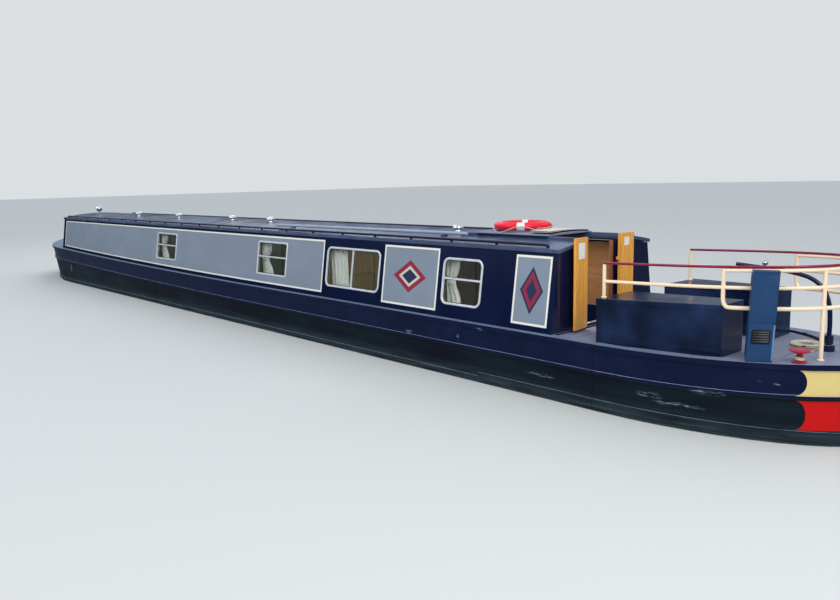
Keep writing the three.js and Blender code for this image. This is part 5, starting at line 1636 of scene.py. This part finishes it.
class NARROWBOAT_OT_stern_rails(PieceOperator):
    """Builds the cream guard rails and the red rail along their top"""

    bl_idname = "narrowboat.stern_rails"
    bl_label = "Stern rails"

    def execute(self, context):
        cream = enamel("cream_rail_enamel", paint().rails, 0.25, 0.0)
        red = enamel("crimson_rail_enamel", paint().crimson, 0.2, 0.0)
        shape = Shape()
        shape.tube(round_stern(POST_A_X, MIDDLE_RAIL_Z), RAIL_RADIUS, 20)
        # Aft of the second posts a third cream rail runs right under the red one
        shape.tube(round_stern(POST_B_X, TOP_RAIL_Z - 0.0295), RAIL_RADIUS, 20)
        # The second posts bend aft at their foot into the low rail
        post = (POST_B_X, rail_y(POST_B_X))
        low = rail_z(LOW_RAIL_Z, POST_B_X)
        bend, end = POST_B_X - 0.030, POST_B_X - 0.070
        elbow = [
            (*post, rail_z(TOP_RAIL_Z, POST_B_X) - 0.014),
            (*post, rail_z(MIDDLE_RAIL_Z, POST_B_X)),
            (*post, low + 0.090),
            (POST_B_X - 0.008, post[1], low + 0.040),
            (bend, rail_y(bend), low + 0.008),
            (end, rail_y(end), rail_z(LOW_RAIL_Z, end)),
        ]
        port = curved(elbow, 6)
        starboard = [Vector((p.x, -p.y, p.z)) for p in port[::-1]]
        shape.tube([*port, *round_stern(POST_B_X - 0.12, LOW_RAIL_Z), *starboard], POST_RADIUS, 20)
        deck_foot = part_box("side_rail_port")[0].z + 0.0002
        gunwale_foot = gunwale(POST_C_X - 0.019) + 0.0006
        flange = [(0, 0), (0.030, 0), (0.030, 0.004), (0.021, 0.009), (0, 0.009)]
        for x, foot in ((POST_A_X, deck_foot), (POST_C_X, gunwale_foot)):
            for sign in (1, -1):
                place = (x, sign * rail_y(x))
                shape.tube([(*place, foot), (*place, rail_z(TOP_RAIL_Z, x) - 0.0125)], POST_RADIUS, 20)
                shape.turned(flange, (*place, foot), sides=24)
        made = shape.make("guard_rails", cream, smooth=60)
        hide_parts("stern_rail", "side_rail_port")
        top = Shape()
        top.tube(round_stern(POST_A_X + 0.012, TOP_RAIL_Z), TOP_RAIL_RADIUS, 16, 0.01)
        made = top.make("top_rail", red, smooth=60)
        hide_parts("stern_top_rail")
        return {"FINISHED"}


def rail_y(x):
    """Half the distance between the port and the starboard rail, which draw in round the stern."""
    u = min(max((RAIL_START - x) / RAIL_REACH, 0.0), 1.0)
    return RAIL_HALF * (1 - u**RAIL_POWER) ** (1 / RAIL_POWER)


def rail_z(height, x):
    """Height of a rail, which rises towards the stern."""
    return height + 0.032 * max(POST_A_X - x, 0.0)


def round_stern(start, height):
    """The way of a rail from the port side round the stern to the starboard side."""
    port = []
    if start > RAIL_START:
        port.append((start, rail_y(start), rail_z(height, start)))
    u0 = min(max((RAIL_START - start) / RAIL_REACH, 0.0), 1.0)
    a0 = math.asin(u0 ** (RAIL_POWER / 2))
    steps = 30
    for i in range(steps):
        angle = a0 + (math.pi / 2 - a0) * i / steps
        x = RAIL_START - RAIL_REACH * math.sin(angle) ** (2 / RAIL_POWER)
        port.append((x, rail_y(x), rail_z(height, x)))
    end = RAIL_START - RAIL_REACH
    return port + [(end, 0.0, rail_z(height, end))] + [(x, -y, z) for x, y, z in port[::-1]]


# A mushroom bollard from its foot to the top of its cap: radius, height
BOLLARD_PROFILE = (
    (0, 0.0004),
    (0.0585, 0.0004),
    (0.0598, 0.002),
    (0.0598, 0.008),
    (0.056, 0.0106),
    (0.030, 0.0142),
    (0.0242, 0.018),
    (0.0220, 0.040),
    (0.0202, 0.066),
    (0.030, 0.0745),
    (0.060, 0.0845),
    (0.080, 0.0925),
    (0.0865, 0.098),
    (0.0868, 0.102),
    (0.080, 0.107),
    (0.061, 0.1140),
    (0.035, 0.1185),
    (0, 0.1208),
)


class NARROWBOAT_OT_bollards(PieceOperator):
    """Builds the two mushroom bollards on the quarters"""

    bl_idname = "narrowboat.bollards"
    bl_label = "Bollards"

    def execute(self, context):
        red = enamel("red_bollard_enamel", paint().mushroom, 0.25, 0.0)
        foot = gunwale(BOLLARD.x - 0.060) + CLEARANCE
        for name, sign in SIDES:
            shape = Shape()
            shape.turned(BOLLARD_PROFILE, (BOLLARD.x, sign * BOLLARD.y, foot), sides=48)
            made = shape.make(f"mushroom_bollard_{name}", red, smooth=50)
            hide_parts(f"bollard_{name}")
        return {"FINISHED"}


# The lamp's shell from its back to the bezel and into the bowl: radius, distance forward of its middle
LAMP_PROFILE = (
    (0.0, -0.069),
    (0.022, -0.066),
    (0.042, -0.055),
    (0.056, -0.036),
    (0.0615, -0.012),
    (0.0615, 0.010),
    (0.0715, 0.0135),
    (0.0735, 0.018),
    (0.0735, 0.029),
    (0.0705, 0.0335),
    (0.063, 0.0330),
    (0.058, 0.026),
    (0.0, 0.012),
)
LENS_PROFILE = ((0.0, 0.020), (0.057, 0.0275), (0.0622, 0.0320), (0.050, 0.0328), (0.0, 0.0332))


class NARROWBOAT_OT_headlamp(PieceOperator):
    """Builds the headlamp on the fore end of the roof"""

    bl_idname = "narrowboat.headlamp"
    bl_label = "Headlamp"

    def execute(self, context):
        x = X_FWD - 0.090
        z = roof_z(0) + 0.095
        chrome = bare_metal("chromed_steel_polished", linear("d8dadc"), 0.12)
        shape = Shape()
        shape.turned(LAMP_PROFILE, (x, 0, z), "X", 40)
        shape.tube([(x, 0, roof_z(0) - 0.002), (x, 0, z - 0.050)], 0.0115)
        foot = [(0, 0), (0.034, 0), (0.034, 0.004), (0.016, 0.010), (0, 0.010)]
        shape.turned(foot, (x, 0, roof_z(0) - 0.001), sides=28)
        made = shape.make("headlamp_body", chrome, smooth=45)
        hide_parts("headlamp")
        lens = Shape()
        lens.turned(LENS_PROFILE, (x, 0, z), "X", 32)
        glass = float_glass("pressed_lens_glass")
        lens.make("headlamp_lens", glass, smooth=40)
        return {"FINISHED"}


# The camera that was fitted to the photograph. The focal length is in its pixels.
PHOTO_WIDTH = 840
CAMERA_FOCUS = 766.262
CAMERA_PLACE = Vector((-12.2508, 7.0979, 2.2737))
YAW = math.radians(42.1052)
PITCH = math.radians(8.9824)
ROLL = math.radians(-1.3055)
FLOOR_HALF = 160.0

# Lamps that stand for daylight in the cabin: x, power
CABIN_LAMPS = ((-6.7, 12.0), (-4.1, 7.0), (-2.2, 4.5), (1.5, 6.5))


class NARROWBOAT_OT_stage(PieceOperator):
    """Lays the pale floor at the waterline, lights the boat softly and sets the camera"""

    bl_idname = "narrowboat.stage"
    bl_label = "Stage"

    def execute(self, context):
        scene = context.scene
        self.camera(scene)
        corners = rectangle(-FLOOR_HALF, FLOOR_HALF, -FLOOR_HALF, FLOOR_HALF)
        mesh = bpy.data.meshes.new("floor")
        mesh.from_pydata([(x, y, 0) for x, y in corners], [], [(0, 1, 2, 3)])
        mesh.materials.append(finish("studio_floor", self.floor_paint))
        ground = bpy.data.objects.new("floor", mesh)
        scene.collection.objects.link(ground)
        scene.view_settings.view_transform = "Standard"
        self.lights(scene)
        self.sky(scene)
        return {"FINISHED"}

    def camera(self, scene):
        """The camera, where the photograph was taken from."""
        data = bpy.data.cameras.new("photo_camera")
        data.lens = CAMERA_FOCUS / PHOTO_WIDTH * data.sensor_width
        data.clip_end = 400.0
        level = math.cos(PITCH)
        forward = Vector((math.cos(YAW) * level, -math.sin(YAW) * level, -math.sin(PITCH)))
        right = forward.cross(Vector((0, 0, 1))).normalized()
        up = right.cross(forward)
        tilted_right = right * math.cos(ROLL) + up * math.sin(ROLL)
        tilted_up = up * math.cos(ROLL) - right * math.sin(ROLL)
        turn = Matrix((tilted_right, tilted_up, -forward)).transposed()
        camera = bpy.data.objects.new("photo_camera", data)
        camera.matrix_world = Matrix.Translation(CAMERA_PLACE) @ turn.to_4x4()
        scene.collection.objects.link(camera)
        scene.camera = camera

    def floor_paint(self, tree):
        """A pale floor, which the boat's gloss mirrors as darkly as it would mirror water."""
        mirrored = add(tree, "ShaderNodeLightPath").outputs["Is Glossy Ray"]
        pale, dark = linear("cfd0cd"), linear("434b50")
        return {
            "Base Color": add(tree, "ShaderNodeMix", {0: mirrored, 6: pale, 7: dark}, data_type="RGBA"),
            "Roughness": 0.9,
        }

    def lights(self, scene):
        """Three soft lamps round the boat, and four small ones that stand for daylight in the cabin."""
        lamps = [
            ("key_softbox", (-16.0, 6.0, 9.0), 6.0, 680.0, (-5.0, 0.0, 0.6)),
            ("side_softbox", (2.0, 16.0, 12.0), 12.0, 750.0, (1.0, 0.0, 0.6)),
            ("far_softbox", (14.0, -8.0, 12.0), 10.0, 350.0, (4.0, 0.0, 0.6)),
        ]
        for x, power in CABIN_LAMPS:
            lamps.append(("cabin_daylight", (x, 0.0, 1.50), 0.5, power, (x, 0.0, 0.0)))
        for name, place, size, power, aim in lamps:
            data = bpy.data.lights.new(name, "AREA")
            data.shape = "DISK"
            data.size = size
            data.energy = power
            lamp = bpy.data.objects.new(name, data)
            lamp.location = place
            lamp.rotation_euler = (Vector(aim) - Vector(place)).to_track_quat("-Z", "Y").to_euler()
            scene.collection.objects.link(lamp)

    def sky(self, scene):
        """Even light from all round, which gloss mirrors as a sky over a dark bank."""
        world = bpy.data.worlds.new("studio")
        scene.world = world
        world.use_nodes = True
        tree = world.node_tree
        tree.nodes.clear()
        place = add(tree, "ShaderNodeTexCoord").outputs["Generated"]
        height = add(tree, "ShaderNodeSeparateXYZ", {0: place}).outputs["Z"]
        climb = add(tree, "ShaderNodeMapRange", {"Value": height, "From Min": 0.08, "From Max": 0.36})
        bank, sky = linear("20282e"), linear("dde8f6")
        mirrored = add(tree, "ShaderNodeMix", {0: climb, 6: bank, 7: sky}, data_type="RGBA")
        path = add(tree, "ShaderNodeLightPath").outputs
        even = linear("e2e9f2")
        glossy = {0: path["Is Glossy Ray"], 6: even, 7: mirrored}
        light = add(tree, "ShaderNodeMix", glossy, data_type="RGBA")
        backdrop = {0: path["Is Camera Ray"], 6: light, 7: linear("dcdfe1")}
        light = add(tree, "ShaderNodeMix", backdrop, data_type="RGBA")
        background = add(tree, "ShaderNodeBackground", {"Color": light, "Strength": 1.0})
        add(tree, "ShaderNodeOutputWorld", {"Surface": background})


OPERATORS = (
    NARROWBOAT_OT_stage,
    NARROWBOAT_OT_mooring_rope,
    NARROWBOAT_OT_hull,
    NARROWBOAT_OT_cabin,
    NARROWBOAT_OT_windows,
    NARROWBOAT_OT_curtains,
    NARROWBOAT_OT_roof,
    NARROWBOAT_OT_hatch,
    NARROWBOAT_OT_lifebuoy,
    NARROWBOAT_OT_folded_cloth,
    NARROWBOAT_OT_handrails,
    NARROWBOAT_OT_doors,
    NARROWBOAT_OT_lining,
    NARROWBOAT_OT_deck,
    NARROWBOAT_OT_stern_rails,
    NARROWBOAT_OT_bollards,
    NARROWBOAT_OT_headlamp,
)


class NARROWBOAT_PT_pieces(bpy.types.Panel):
    """Lists the boat's pieces, its sizes and its colours"""

    bl_idname = "NARROWBOAT_PT_pieces"
    bl_label = "Narrowboat"
    bl_space_type = "VIEW_3D"
    bl_region_type = "UI"
    bl_category = "Narrowboat"

    def draw(self, context):
        layout = self.layout
        for group in (context.scene.narrowboat_sizes, context.scene.narrowboat_paint):
            for name in group.bl_rna.properties.keys():
                if name not in ("rna_type", "name"):
                    layout.prop(group, name)
        for operator in OPERATORS:
            layout.operator(operator.bl_idname)


CLASSES = (NarrowboatPaint, NarrowboatSizes, *OPERATORS, NARROWBOAT_PT_pieces)


def register():
    for cls in CLASSES:
        bpy.utils.register_class(cls)
    bpy.types.Scene.narrowboat_paint = bpy.props.PointerProperty(type=NarrowboatPaint)
    bpy.types.Scene.narrowboat_sizes = bpy.props.PointerProperty(type=NarrowboatSizes)


def unregister():
    del bpy.types.Scene.narrowboat_sizes
    del bpy.types.Scene.narrowboat_paint
    for cls in reversed(CLASSES):
        bpy.utils.unregister_class(cls)


def main():
    register()
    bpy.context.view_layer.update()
    for operator in OPERATORS:
        getattr(bpy.ops.narrowboat, operator.bl_idname.split(".")[1])()


if __name__ == "__main__":
    main()
